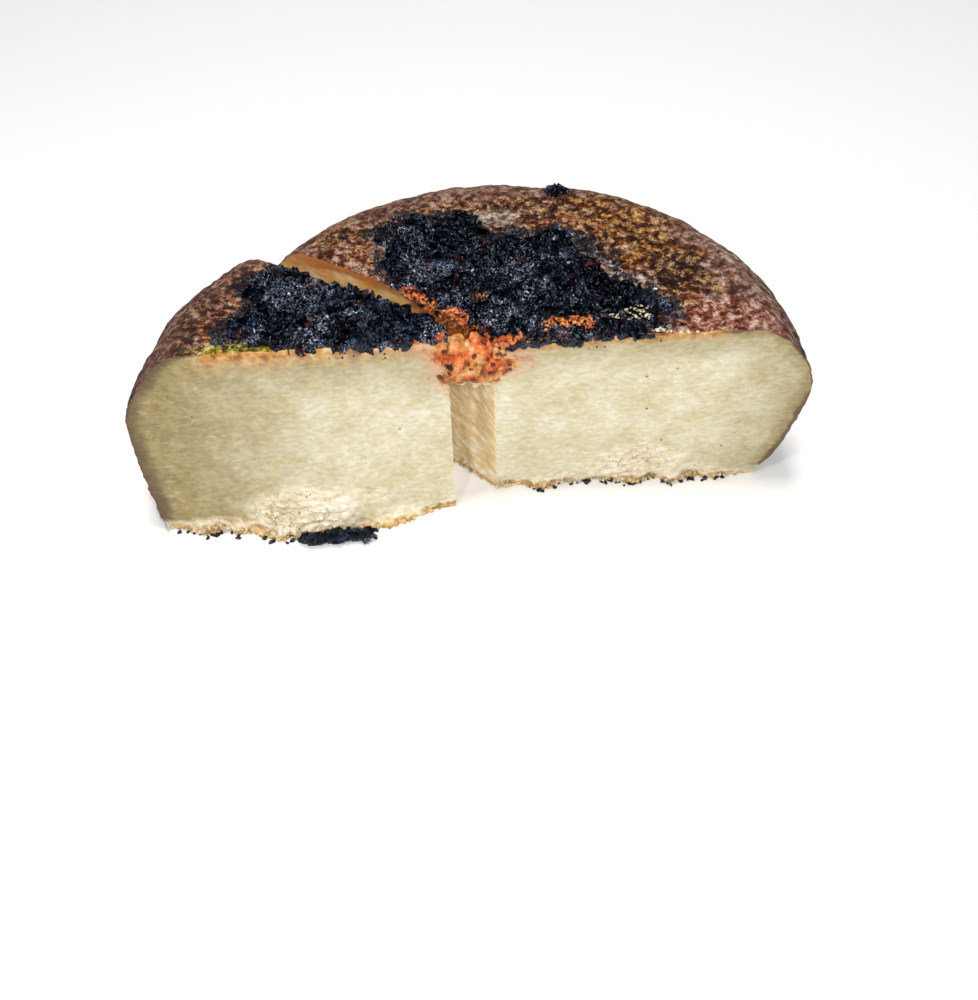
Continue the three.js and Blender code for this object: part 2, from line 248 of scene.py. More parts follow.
# how far a cut stands out from its plane: the solid's own relief, then what is too fine for it
def cutRelief(portion, place, radius, out, isFront):
    seed = portion["seed"]
    height = place[:, 2]
    foot = fade(height, 0, relief["footHeight"])
    total = bumps("knife", noise, place, seed)
    total += bumps("foot", noise, place, seed + 1) * foot
    if isFront:
        total += portion["skirt"] * np.sin(np.pi * np.minimum(out, 1)) * (1 - height / portion["height"]) ** 3
        broken = relief["broken"]
        aside = np.hypot((out - broken["out"]) / broken["halfWidth"], height / broken["height"])
        total += portion["broken"] * broken["depth"] * fade(aside, 0, 1)
    else:
        total -= portion["backLean"] * height / portion["height"]
    level = place * np.array([0.3, 0.3, 1])
    total += bumps("grain", layered, level, seed + 5)
    total += relief["flakes"] * smooth(noise(level, 2.6, seed + 6), 0.4, 0.75)  # lifted flakes of curd
    total += bumps("footGrain", creased, place, seed + 7) * fade(height, 1, 5)
    if isFront:
        crumbled = patchy(place[:, 0], height, portion["crumbles"])
        total += crumbled * (0.4 * creased(level * 2, 4.5, seed + 8) + 0.35 * noise(place, 1.6, seed + 9))
        crack = fade(abs(noise(level, 2.6, seed + 10)), 0, 0.06)
        total -= relief["cracks"] * crack * smooth(crumbled, 0.3, 1)
    total *= smooth(radius, 0, relief["tipFade"])
    stained = fade(radius, 8, 16) * smooth(height, 38, 46)
    total += stained * bumps("tipGrain", layered, place, seed + 15, 2)
    return total - relief["pits"] * pitDepth(portion, "front" if isFront else "back", radius, height)


# A point of a portion: out from the tip to the rim, up from the underside to the top and turn from
# the front cut to the back cut, each from 0 to 1.
def portionPlaces(portion, out, up, turn):
    seed = portion["seed"]
    front, back, _ = cutAngles(portion)
    angle = front + (back - front) * turn
    radius = out * rimRadius(portion, up)
    radial = np.stack([np.cos(angle), np.sin(angle), 0 * angle], 1)
    place = radial * radius[:, None]
    place[:, 2] = up * topHeight(portion, radius, angle)

    moved = place + np.array([*portion["tip"], 0])
    bulge = bumps("rim", noise, place, seed + 2)
    bulge += bumps("rimSwell", layered, place, seed + 11) + bumps("rimGrain", creased, place, seed + 12, 2)
    moved += radial * (bulge * smooth(out, 0.75, 1))[:, None]
    moved[:, 1] += portion["lean"] * up * (1 - out * turn)
    lift = bumps("top", noise, place, seed + 3)
    lift += bumps("topSwell", layered, place, seed + 13) + bumps("topGrain", creased, place, seed + 14, 2)
    moved[:, 2] += lift * up**4
    for isFront in (True, False):
        along = (turn if isFront else 1 - turn) * abs(back - front) * radius
        depth = cutRelief(portion, place, radius, out, isFront) * fade(along, 0, relief["edgeFade"])
        moved += cutWay(portion, isFront)[1] * depth[:, None]
    moved[up == 0, 2] = 0
    return moved, place, radius


def zipRows(first, second):
    faces, a, b = [], 0, 0
    lastA, lastB = len(first) - 1, len(second) - 1
    while a < lastA or b < lastB:
        if b == lastB or (a < lastA and (a + 1) / lastA <= (b + 1) / lastB):
            faces.append((first[a], first[a + 1], second[b]))
            a += 1
        else:
            faces.append((first[a], second[b + 1], second[b]))
            b += 1
    return faces


def meshPiece(name, points, faces, materials, faceMaterials=None, sharpAngle=55, linked=True):
    mesh = bpy.data.meshes.new(name)
    mesh.from_pydata((np.asarray(points) / 1000).tolist(), [], np.asarray(faces).tolist())
    for material in materials:
        mesh.materials.append(material)
    if faceMaterials is not None:
        mesh.polygons.foreach_set("material_index", np.asarray(faceMaterials, np.int32))
    mesh.shade_smooth()
    mesh.set_sharp_from_angle(angle=math.radians(sharpAngle))
    mesh.update()
    piece = bpy.data.objects.new(name, mesh)
    return link(piece) if linked else piece


def lattice(across, along):
    x, y = np.meshgrid(across, along, indexing="ij")
    return x.ravel(), y.ravel(), x.shape


def inPart(points):
    return np.asarray(points) + np.array([*wheel["centre"], 0])


def joined(parts):
    starts = np.cumsum([0] + [len(points) for points, _ in parts])
    faces = [faces + start for (_, faces), start in zip(parts, starts)]
    return np.concatenate([points for points, _ in parts]), np.concatenate(faces)


def addValues(piece, name, values):
    attribute = piece.data.attributes.new(name, "FLOAT", "POINT")
    attribute.data.foreach_set("value", np.asarray(values, np.float32))


# Where the cheese is stained, in the wheel's frame: x, y, half sizes and strength on its top.
stains = {
    "warm": [(42, 52, 46, 26, 0.75), (8, 66, 34, 12, 0.3), (60, 26, 22, 22, 0.7), (-86, 20, 16, 40, 0.25),
             (-48, 54, 22, 16, 0.6)],
    "ochre": [(44, 54, 22, 15, 0.6), (50, 41, 14, 11, 0.62), (35, 68, 20, 8, 0.55), (8, 68, 26, 7, 0.46),
              (-92, 17, 9, 14, 0.32), (-50, 58, 14, 12, 0.45)],
    "dark": [(59, 29, 13, 15, 0.85), (54, 19, 9, 13, 0.8), (34, 47, 22, 10, 0.46), (-44, 58, 15, 10, 0.55),
             (-52, 47, 14, 5, 0.6), (62, 9, 9, 5, 0.4), (0, 66, 44, 9, 0.52), (-96, 22, 14, 34, 0.36),
             (-84, 44, 12, 12, 0.3)],
    "salmon": [(70, 8, 30, 14, 0.66), (-40, 48, 18, 12, 0.42), (86, 5, 12, 9, 0.6)],
    "mould": [(-76, -1.3, 18, 4.2, 1.1), (-65, -2.6, 10, 4, 1.1)],
    "pale": [(2, 64, 11, 6, 0.85), (34, 31, 8, 7, 0.8), (53, 2.4, 6.5, 2.2, 1.1), (-34, 51, 8, 9, 0.6),
             (76, 28, 18, 30, 0.34), (80, 12, 14, 14, 0.3), (45, 25, 7, 5, 0.6)],
}


def paintCheese(piece, portion, points, place, radius, up, turn):
    (x, y, _), height, seed = points.T, place[:, 2], portion["seed"]
    isLarge, isFront = portion is largePortion, turn < 0.5
    belowTop = topHeight(portion, radius, np.arctan2(place[:, 1], place[:, 0]) % (2 * math.pi)) - height
    side = smooth(belowTop, 2, 16)
    fromCuts = insideCuts(portion, x, y)
    values = {name: patchy(x, y, patches) * (1 - side) for name, patches in stains.items()}
    # the rind's side below the top is marked for the dark side colour: painted shade
    values["side"] = side
    # the slice's whole rind is marked to be painted a little darker: painted shade
    values["shade"] = np.full(len(x), 0.0 if isLarge else 1.0)
    values["greyRim"] = smooth(radius, 70, 84) * (1 - 0.5 * side)
    values["wet"] = fade(-crustReach(largeCrust if isLarge else sliceCrust, x, y), -1, 7) * (1 - side)
    tipStain = fade(np.hypot(x + 3, y + 1), 9, 21)
    ridge = fade(fromCuts, 1.5, 6) * fade(radius, 26, 46) * (turn > 0.5)
    if isLarge:
        lip = fade(y, 0.5, 2.6) * smooth(x, 4, 10) * fade(x, 62, 74)
        tipStain = np.maximum.reduce([tipStain, ridge, 0.6 * lip, patchy(x, y, [(22, 4.6, 9, 3.5, 1)])])
    else:
        lip = fade(fromCuts, 0.5, 2.4) * fade(radius, 48, 62) * isFront
        tipStain = np.maximum.reduce([tipStain, 0.8 * ridge, 0.5 * lip])
    values["orange"] = tipStain * (1 - side)

    fromRim = rimRadius(portion, up) - radius
    wobble = 1.6 * layered(place, 12, seed + 20, 2)
    bands = [fade(np.minimum(fromRim, belowTop * 1.7) + wobble, 0, 13)]
    # tan of dried curd near the rim and under the top; on the slice it reaches far as painted shade
    for reach, nearest, (furthest, strength) in (
            (fromRim, 0, portion["driedAndShadeReach"]), (belowTop, 2, portion["underDried"])):
        bands.append(strength * fade(reach + wobble, nearest, furthest))
    values["dried"] = np.maximum.reduce(bands)
    values["rindLine"] = fade(np.minimum(fromRim, belowTop * 1.5), 0.2, 0.9)
    stain = fade(np.hypot((x + 6.5) / 20, belowTop / 22.5) + 0.14 * layered(place, 5, seed + 21), 0.3, 1.25)
    soaked = fade(radius, 26, 44) * smooth(-belowTop, -22, -6) * (turn > 0.5) * isLarge
    values["stain"] = np.maximum(stain, soaked)
    middle, half = portion["amberUnder"]
    values["amber"] = 0.9 * fade(belowTop + 0.5 * wobble, 0, portion["amberDepth"]) ** 1.5
    values["amber"] *= fade(abs(x + middle), half - 6, half + 4)
    values["crumble"] = patchy(place[:, 0], height, portion["crumbles"]) * (turn < 0.25)
    # pits: the holes are cut in the mesh and painted dark brown too, painted shade
    pits = [pitDepth(portion, name, radius, height) for name in ("front", "back")]
    values["pit"] = np.where(isFront, *pits)
    values["backCut"] = 1 - isFront
    values["tipward"] = fade(radius, 2, 13)
    # a band of the inner cut below the top: its own amber, painted lighter where the gap shades it, painted light
    values["glow"] = smooth(radius, 20, 34) * fade(belowTop, 10, 32) * (1 - isFront)
    # wine has run down the inner cut from the crust's edge, the tip and the rim
    bleed = fade(np.hypot((radius - 57) / 9, belowTop / 2.6), 0.3, 1.1)
    bleed += 1.3 * fade(radius, 26, 40) * fade(belowTop, 7, 18)
    bleed += 0.9 * fade(belowTop + 0.5 * wobble, 0.5, 4) + 0.7 * smooth(radius, 62, 76) * fade(belowTop, 3, 11)
    values["bleed"] = bleed * (1 - isFront)
    for name, value in values.items():
        addValues(piece, name, value)


def makePortion(name, portion, rind, paste):
    outs = np.linspace(0, 1, portion["outSteps"] + 1)
    evenly = np.linspace(1, 0, portion["upSteps"] + 1)
    ups = 0.55 * evenly + 0.45 * (1 - np.cos(np.pi * evenly)) / 2
    span = abs(math.radians(portion["backAngle"] - portion["frontAngle"]))
    arcCount = round(span * wheel["radius"] / portion["arcStep"])
    keys = {}

    def cornerOf(out, up, turn):
        key = (round(out * 1e6), round(up * 1e6), round(turn * 1e6) if out else 0)
        return keys.setdefault(key, len(keys))

    def arc(out, up, count):
        return [cornerOf(out, up, n / count if count else 0) for n in range(count + 1)]

    outside = [arc(out, 1, math.ceil(arcCount * out)) for out in outs]
    outside += [arc(1, up, arcCount) for up in ups[1:]]
    frontRows = [[cornerOf(out, up, 0) for out in outs] for up in ups]
    backRows = [[cornerOf(out, up, 1) for out in outs][::-1] for up in ups]
    faces, faceKinds = [], []
    for kind, rows in ((0, outside), (1, frontRows), (1, backRows)):
        for first, second in zip(rows, rows[1:]):
            faces += zipRows(first, second)
        faceKinds += [kind] * (len(faces) - len(faceKinds))
    out, up, turn = (np.array(list(keys), float) / 1e6).T
    points, place, radius = portionPlaces(portion, out, up, turn)

    outline = frontRows[-1] + outside[-1][1:] + backRows[-1][1:-1]
    flat = [Vector((points[i][0], points[i][1], 0)) for i in outline]
    area = sum(a.cross(b).z for a, b in zip(flat, flat[1:] + flat[:1]))
    for corners in geometry.tessellate_polygon([flat]):
        a, b, c = (flat[i] for i in corners)
        isSame = (b - a).cross(c - a).z * area > 0
        faces.append([outline[i] for i in corners[::1 if isSame else -1]])
    faceKinds += [0] * (len(faces) - len(faceKinds))
    faces = np.array(faces)
    a, b, c = (points[faces[:, i]] for i in range(3))
    if np.einsum("ij,ij->i", a, np.cross(b, c)).sum() < 0:
        faces = faces[:, ::-1]
    piece = meshPiece(name, inPart(points), faces, [rind, paste], faceKinds)
    paintCheese(piece, portion, points, place, radius, up, turn)
    print(name, "made,", len(faces), "triangles")
    return piece


# place on the plan, seen from a portion's own tip, with its lean taken off
def ownPlace(portion, x, y):
    ownX, ownY = x - portion["tip"][0], y - portion["tip"][1]
    front, back, _ = cutAngles(portion)
    leaned = np.copy(ownY)
    for _ in range(4):
        turn = np.clip((np.arctan2(leaned, ownX) % (2 * math.pi) - front) / (back - front), 0, 1)
        out = np.hypot(ownX, leaned) / (wheel["radius"] * portion["topRatio"])
        leaned = ownY - portion["lean"] * (1 - np.clip(out, 0, 1) * turn)
    return ownX, leaned


def topSurface(portion, x, y):
    ownX, ownY = ownPlace(portion, x, y)
    radius, angle = np.hypot(ownX, ownY), np.arctan2(ownY, ownX) % (2 * math.pi)
    height = topHeight(portion, radius, angle)
    return height + bumps("top", noise, np.stack([ownX, ownY, height], 1), portion["seed"] + 3)


# how far inside a portion's two cuts a place on the plan is
def insideCuts(portion, x, y, backMore=0):
    ownX, ownY = ownPlace(portion, x, y)
    front, back, side = cutAngles(portion)
    fromFront = side * (ownY * math.cos(front) - ownX * math.sin(front))
    fromBack = side * (ownX * math.sin(back) - ownY * math.cos(back))
    fromBack = fromBack - portion["backLean"] * smooth(np.hypot(ownX, ownY), 0, relief["tipFade"])
    return np.minimum(fromFront, fromBack + backMore)


def newMaterial(name):
    material = bpy.data.materials.new(name)
    material.use_nodes = True
    add = adderFor(material.node_tree)
    return material, add, material.node_tree.nodes["Principled BSDF"], add("TexCoord", out="Object")


def painted(add, name):
    return add("Attribute", attribute_name=name, out="Fac")


def cloudy(add, place, size, detail, roughness=0.5, twist=0.0):
    return add("TexNoise", Vector=place, Scale=perMm(size), Detail=detail, Roughness=roughness, Distortion=twist)


# 1 where an amount outdoes a noise and 0 where it doesn't, with a soft and ragged border
def ragged(add, amount, unevenness, edge=0.06, most=1.0):
    return add("MapRange", add("Math SUBTRACT", amount, unevenness), -edge, edge, 0, most)


def overlay(add, amount, under, over):
    return add("Mix", {0: amount, 6: under, 7: over}, data_type="RGBA", out=2)


# Rind: a wheel ripened under wine skins. It dries to a skin of small bumps, pale mauve on top and
# dark brown in the dents between, which reads as fine speckle; nearly without shine.
rindLook = {
    "noises": {  # size in mm, detail and roughness
        "mottle": (2.6, 6, 0.72), "grit": (0.8, 4, 0.7), "patch": (9, 5, 0.6), "border": (4.5, 8, 0.75),
        "hue": (4, 5, 0.7), "warp": (2.4, 4, 0.6),
    },
    "grain": 1.9, "warpReach": 0.0034, "crackReach": 0.15, "grainHeight": 0.0005, "mottleHeight": 0.0022,
    "shades": {
        "base": "42 #1a0c07, 46 #512c1f, 50 #8c5e4c, 53.5 #b08775, 59 #d3b6a5",
        "warm": "42 #200904, 46 #6c2812, 50 #a5552b, 53.5 #c68c48, 59 #e2c18c",
        "greyRim": "42 #54362b, 47 #7f5848, 52 #9a7262, 59 #b79686",
        "ochre": "42 #180a04, 46 #5c2a0d, 50 #a55f1e, 54 #cd9038, 59 #e6c888",
        "dark": "45 #040202, 50 #170b06, 53.5 #56311a, 56.5 #ac7b45, 61 #d8b98c",
        "salmon": "42 #4a1a10, 46 #8e3f28, 50 #c07a62, 54 #d8a590, 59 #e8cdbc",
        "orange": "42 #34120a, 46 #80340f, 50 #b8591f, 55 #cd8540, 61 #e2bd88",
        "wet": "42 #040406, 49 #15151d, 54 #3a3843, 60 #857f8b",
        "mould": "42 #5c521c, 47 #a39022, 52 #c9b73c, 58 #e3d67c",
        "pale": "42 #6a5044, 47 #a28170, 51 #c4aa97, 57 #e4d5c4",
        # side: the rim's side painted darker than the top, painted shade
        "side": "42 #0f0908, 48 #332019, 53 #5f463e, 60 #8d766e",
    },
}


def makeRind():
    look = rindLook
    material, add, shader, place = newMaterial("ripened rind, dried under wine skins")
    noises = {name: cloudy(add, place, *form) for name, form in look["noises"].items()}
    # the slice's rind starts a little darker, by the painted shade amount
    tone = add("Math MULTIPLY_ADD", painted(add, "shade"), -0.022, -0.04)
    for name, share in (("mottle", 0.74), ("grit", 0.18), ("patch", 0.16)):
        tone = add("Math MULTIPLY_ADD", noises[name], share, tone)
    # small bumps stand apart, each with its own tone and hue
    warp = noises["warp"].node.outputs["Color"]
    warped = add("VectorMath MULTIPLY_ADD", warp, [look["warpReach"]] * 3, place)
    grains = add("TexVoronoi", Vector=warped, Scale=perMm(look["grain"]), out="Color")
    between = add("TexVoronoi", feature="DISTANCE_TO_EDGE", Vector=warped, Scale=perMm(look["grain"]))
    own = add("SeparateColor", grains).node.outputs
    tone = add("Math SUBTRACT", add("Math MULTIPLY_ADD", own[0], 0.1, tone), 0.052)
    hue = add("Math SUBTRACT", add("Math MULTIPLY_ADD", own[1], 0.14, noises["hue"]), 0.07)
    drift = add("Math MULTIPLY_ADD", painted(add, "warm"), 0.7, 0.22)
    warmth = ragged(add, drift, add("MapRange", hue, 0.4, 0.6), 0.12, 0.95)
    shades = {name: add("ValToRGB", tone, stops=stops) for name, stops in look["shades"].items()}
    colour = overlay(add, warmth, shades.pop("base"), shades.pop("warm"))
    border = add("MapRange", noises["border"], 0.36, 0.64)
    for name, shade in shades.items():
        # the grey rim, and the painted shade of the rim's side, lie evenly; the others have ragged borders
        isEven = name in ("greyRim", "side")
        amount = painted(add, name)
        amount = add("Math MULTIPLY", amount, 0.8) if isEven else ragged(add, amount, border, 0.16, 0.9)
        colour = overlay(add, amount, colour, shade)
    # dents between the bumps join into thin dark lines
    crack = add("MapRange", between, look["crackReach"], 0.02)
    crack = add("Math MULTIPLY", crack, add("MapRange", noises["border"], 0.4, 0.56))
    crack = add("Math MULTIPLY", crack, add("Math MULTIPLY_ADD", painted(add, "greyRim"), -0.45, 0.85))
    crevice = overlay(add, painted(add, "salmon"), "#2a0d07", "#7c2a1c")
    dents = add("Bump", Height=add("MapRange", between, 0, 0.3), Strength=0.7, Distance=look["grainHeight"])
    feed(shader, {
        "Base Color": overlay(add, crack, colour, crevice), "Specular IOR Level": 0.2,
        "Roughness": add("MapRange", noises["grit"], 0, 1, 0.5, 0.85),
        "Normal": add("Bump", Height=noises["mottle"], Strength=1, Distance=look["mottleHeight"], Normal=dents),
    })
    return material


# Paste: pressed sheep's curd cut with a knife. Ivory and close-grained with level streaks of whiter
# curd; dried to tan wax near the rind, where light goes further in, and across the slice this tan is
# painted shade too, darker towards its rim; soaked orange by the wine at the wheel's middle, and
# broken white where the foot has crumbled.
pasteLook = {
    # size in mm, detail, roughness and twist
    "streak": (1.3, 5, 0.64), "cloud": (12, 4, 0.55), "blotch": (4.5, 3, 0.6), "border": (4, 6, 0.7),
    "knife": (2.2, 6, 0.68), "fleck": (1.1, 3, 0.6, 0.4), "drift": (9, 3), "split": (6, 5, 0.6), "speck": 12,
    "shades": {
        "inside": "40 #bcae87, 47 #c4ba9a, 54 #cbc3a7, 64 #d8d2be",
        "tan": "40 #796638, 50 #847243, 60 #918152",
        "oldCut": "38 #d2ae76, 45 #dfc290, 52 #e6cfa2, 57 #eedebb, 62 #fbf5e8",
        # amber: lightened for the band in the gap's shade, painted light
        "amber": "38 #d29a50, 50 #dcb06c, 62 #e8cb92",
        "stain": "38 #561a07, 44 #9a3c0e, 50 #c65210, 56 #d06e2e, 63 #d4946a",
        "golden": "40 #7a3f18, 46 #b0702e, 52 #c68c46, 58 #cfa66c, 64 #d6c098",
        "crumbs": "38 #b39a78, 46 #cdbb9a, 55 #dcd1b8, 66 #ece5d6",
        "foot": "38 #8e6a38, 47 #c9a15c, 55 #dfbd7c, 66 #eedfb4",
    },
    # pit: dark brown painted into the pits, painted shade
    "yellower": "#c4ae76", "whiter": "#e9e4d2", "edge": "#4e3826", "rindLine": "#5c3e36",
    "fringe": "#c9987c", "bleed": "#a9602a", "crack": "#7d5c36", "specks": "#6b4526", "pit": "#5c2110",
}


def makePaste():
    look = pasteLook
    material, add, shader, place = newMaterial("pressed curd, knife cut")
    level = add("Mapping", Vector=place, Scale=(0.55, 0.55, 1))
    thin = add("Mapping", Vector=place, Rotation=(0, 0.16, 0), Scale=(0.3, 0.3, 1))
    streaks, flecks = cloudy(add, level, *look["streak"]), cloudy(add, thin, *look["fleck"])
    clouds, blotches, border = (cloudy(add, place, *look[name]) for name in ("cloud", "blotch", "border"))
    # the knife left slanting marks on the cut that faces the slice, whiter away from the tip
    along = add("VectorMath DOT_PRODUCT", place, (0.448, -0.336, 0.83), out="Value")
    across = add("VectorMath DOT_PRODUCT", place, (0.25, -0.19, -0.21), out="Value")
    slanted = cloudy(add, add("CombineXYZ", along, across), *look["knife"])
    nearTip = add("Math MULTIPLY_ADD", painted(add, "tipward"), -0.05, slanted)
    tone = add("Math MULTIPLY_ADD", clouds, 0.45, add("Math MULTIPLY", streaks, 0.6))
    sources = {"oldCut": nearTip, "amber": clouds, "stain": border, "golden": border, "foot": border}
    shades = {}
    for name, stops in look["shades"].items():
        shades[name] = add("ValToRGB", sources.get(name, tone), stops=stops)
    # the stain: soaked orange and golden in turns, with a paler fringe
    stain = add("Math MULTIPLY_ADD", painted(add, "stain"), 1.15, -0.05)
    drift = add("MapRange", cloudy(add, place, *look["drift"]), 0.44, 0.58)
    soaked = overlay(add, drift, shades["golden"], shades["stain"])
    edge = add("MapRange", border, 0.34, 0.66)
    fringe = ragged(add, add("Math MULTIPLY_ADD", stain, 3.2, -0.36), edge, 0.4, 0.55)
    fuller = ragged(add, add("Math MULTIPLY_ADD", stain, 1.6, -0.46), edge, 0.3, 0.96)
    # hair cracks where the foot has crumbled
    split = add("Math ABSOLUTE", add("Math SUBTRACT", cloudy(add, level, *look["split"]), 0.5))
    hair = add("Math MULTIPLY", add("MapRange", split, 0.006, 0.001), painted(add, "crumble"))
    # height, for the rind of the underside: a ragged yellow edge with a brown line over it
    wave = add("Math MULTIPLY_ADD", border, 0.008, -0.004)
    height = add("Math ADD", add("SeparateXYZ", place, out=2), wave)
    specks = add("TexVoronoi", Vector=place, Scale=perMm(look["speck"]))
    dried = painted(add, "dried")
    colour = shades["inside"]
    for amount, over in (
        # tan near the rind: dried curd, and painted shade where it spreads across the slice
        (add("Math MULTIPLY", dried, 0.95), shades["tan"]),
        (add("MapRange", blotches, 0.5, 0.7, 0, 0.3), look["yellower"]),
        (add("MapRange", flecks, 0.57, 0.70, 0, 0.2), look["whiter"]),  # short flecks of curd
        (add("MapRange", dried, 0.984, 1, 0, 0.8), look["edge"]),
        (add("Math MULTIPLY", painted(add, "backCut"), 0.85), shades["oldCut"]),
        # the amber band, painted lighter than the gap's shade lets it be: painted light
        (painted(add, "glow"), shades["amber"]),
        (ragged(add, painted(add, "rindLine"), border, 0.2, 0.85), look["rindLine"]),
        (painted(add, "amber"), shades["golden"]),
        (fringe, look["fringe"]),
        (fuller, soaked),
        (ragged(add, painted(add, "bleed"), border, 0.35, 0.85), look["bleed"]),
        (ragged(add, painted(add, "crumble"), border, 0.3, 0.85), shades["crumbs"]),
        (hair, look["crack"]),
        (add("MapRange", height, 0.0052, 0.0030, 0, 0.7), shades["crumbs"]),
        (add("MapRange", height, 0.0024, 0.0014, 0, 0.9), shades["foot"]),
        (add("MapRange", specks, 0.045, 0.03, 0, 0.8), look["specks"]),
        # the pits painted dark brown: painted shade in the holes
        (add("MapRange", painted(add, "pit"), 0.15, 0.75, 0, 0.92), look["pit"]),
    ):
        colour = overlay(add, amount, colour, over)
    feed(shader, {
        "Base Color": colour, "Roughness": add("MapRange", dried, 0, 1, 0.62, 0.42), "Specular IOR Level": 0.35,
        "Subsurface Weight": 0.2, "Subsurface Radius": (1, 0.7, 0.35), "Subsurface Scale": 0.002,
        "Normal": add("Bump", Height=tone, Strength=0.4, Distance=0.0008),
    })
    return material


# Wet grape skins: nearly black with a blue cast, and a painted bluish-grey sheen in broad patches.
# Thin wet film over crumpled skin throws small sharp glints; a few skins have dried brown, and pale
# threads and spots of painted glints are laid into the colour where the glint patches are.
skinLook = {
    "noises": {  # size in mm, detail, roughness and twist
        "wide": (9, 6, 0.7), "fold": (2.6, 1, 0.5, 0.5), "fine": (1.0, 1, 0.5, 0.5),
        "glintThread": (1.9, 5, 0.62, 0.6), "glintPatch": (11, 4, 0.6),
    },
    "foldHeight": 0.0016, "fineHeight": 0.0007,
    # the lightest stop paints a bluish-grey sheen in broad patches: painted sheen
    "shades": "42 #010102, 54 #030408, 60 #0a0f1a, 70 #33425a",
    # white: the colour of the painted glints
    "brown": "#3a170c", "white": "#cddaf2",
}


def makeSkins():
    look = skinLook
    material, add, shader, place = newMaterial("wine grape skins, pressed and wet")
    noises = {name: cloudy(add, place, *form) for name, form in look["noises"].items()}
    brown = add("MapRange", painted(add, "tone"), 0.94, 0.96, 0, 0.8)
    # near black, with patches of painted bluish-grey sheen
    colour = overlay(add, brown, add("ValToRGB", noises["wide"], stops=look["shades"]), look["brown"])
    # painted glints: thin pale lines where the noise crosses its middle, and spots, only where the glint patches are
    middle = add("Math ABSOLUTE", add("Math SUBTRACT", noises["glintThread"], 0.5))
    where = add("MapRange", noises["glintPatch"], 0.52, 0.58)
    glintThreads = add("Math MULTIPLY", add("MapRange", middle, 0.008, 0.003), where)
    # spots of painted glints
    spots = add("Math MULTIPLY", add("MapRange", noises["fine"], 0.66, 0.71), where)
    folds = add("Bump", Height=noises["fold"], Strength=1, Distance=look["foldHeight"])
    feed(shader, {
        "Base Color": overlay(add, add("Math MAXIMUM", glintThreads, spots), colour, look["white"]),
        "Roughness": add("MapRange", noises["wide"], 0.42, 0.66, 0.06, 0.24),
        "Specular IOR Level": 0.36, "Specular Tint": "#cfdcff",
        "Normal": add("Bump", Height=noises["fine"], Strength=1, Distance=look["fineHeight"], Normal=folds),
    })
    return material


def makeCrumbMaterial(name, stops, roughness, size=1.6):
    material, add, shader, place = newMaterial(name)
    mottle = cloudy(add, place, size, 4, 0.7)
    feed(shader, {
        "Base Color": add("ValToRGB", mottle, stops=stops), "Roughness": roughness,
        "Normal": add("Bump", Height=mottle, Strength=0.5, Distance=0.0004),
    })
    return material


# curd torn along with the slice's tip, which fills the mouth of the gap at the top
tornCurd = {
    "size": (5.4, 4.4, 10), "count": 3, "first": (-11.5, 3.2, 54.5), "last": (-1.5, 3.4, 53.5), "seed": 71,
    "relief": (0.13, 3), "pits": 26, "pitDepth": 0.9, "undercut": 2.5,
}


def makeTornCurd(material):
    look, parts, depths = tornCurd, [], []
    draw = np.random.default_rng(look["seed"])
    size, first, last = (np.array(look[name]) for name in ("size", "first", "last"))
    high, spacing = look["relief"]
    for index in range(look["count"]):
        lump, faces = lumpPoints(size, look["seed"] + index, 6, 0.03)
        away = first + (last - first) * index / (look["count"] - 1)
        ball = lump / size
        outward = ball / np.linalg.norm(ball, axis=1)[:, None]
        lump = lump + outward * (high * creased(lump + away, spacing, 81, 2))[:, None]
        depth = np.zeros(len(lump))
        for _ in range(look["pits"] // look["count"]):
            x, z = draw.uniform(-5, 5), draw.uniform(-9, 7)
            pit = fade(np.hypot(lump[:, 0] - x, lump[:, 2] - z), 0.4, 1.15)
            depth = np.maximum(depth, pit * (lump[:, 1] < 0))
        lump[:, 1] += look["pitDepth"] * depth + look["undercut"] * smooth(-lump[:, 2], 3, 10)
        parts.append((lump + away, faces))
        depths.append(depth)
    points, faces = joined(parts)
    piece = meshPiece("tornCurd", inPart(points), faces, [material], sharpAngle=60)
    addValues(piece, "stain", 1.12 - 1.05 * smooth(65 - points[:, 2], 12, 21))
    addValues(piece, "backCut", np.ones(len(points)))
    # pits painted dark in the paste: painted shade
    addValues(piece, "pit", np.concatenate(depths))
    print("tornCurd made,", len(piece.data.polygons), "triangles")
    return piece


# mm; a skin's or shred's smallest and largest size, as a share of its own, and how far it is tipped
crustLook = {
    "thickness": 4.2, "overhang": 1.3, "cell": 0.42, "sunk": 0.4, "thinnest": 0.5,
    "folds": [(0.75, 4.2), (0.42, 1.8)],  # height and width
    "skinSizes": (0.45, 1.15), "skinTip": 0.42, "shredSizes": (0.4, 1.2), "shredTip": 0.6,
}
largeCrust = {
    "name": "largeCrust", "portion": largePortion, "node": "right_pomace", "seed": 21,
    "centre": (8, 28), "hang": 1.3, "backHang": 0,
    "radii": [29, 27, 26, 28, 23, 24, 42, 55, 44, 38, 29, 27, 28, 28, 31, 35, 49, 48],  # every 20 degrees
    "bare": [(22, 5.6, 10, 3.4, 1), (-2, 52, 3, 2, 1)],  # places where the rind shows through
    "skins": 400, "shreds": 240,
}
sliceCrust = {
    "name": "sliceCrust", "portion": slicePortion, "node": "left_pomace", "seed": 35,
    "centre": (-50, 8), "hang": 1.7, "backHang": 1.6,
    "radii": [34, 26, 23, 20, 21, 24, 34, 36, 24, 30, 25, 19, 18, 16, 14, 16, 26, 35],
    "bare": [(-70, -3, 6.5, 3.2, 1)],
    "skins": 240, "shreds": 170,
}


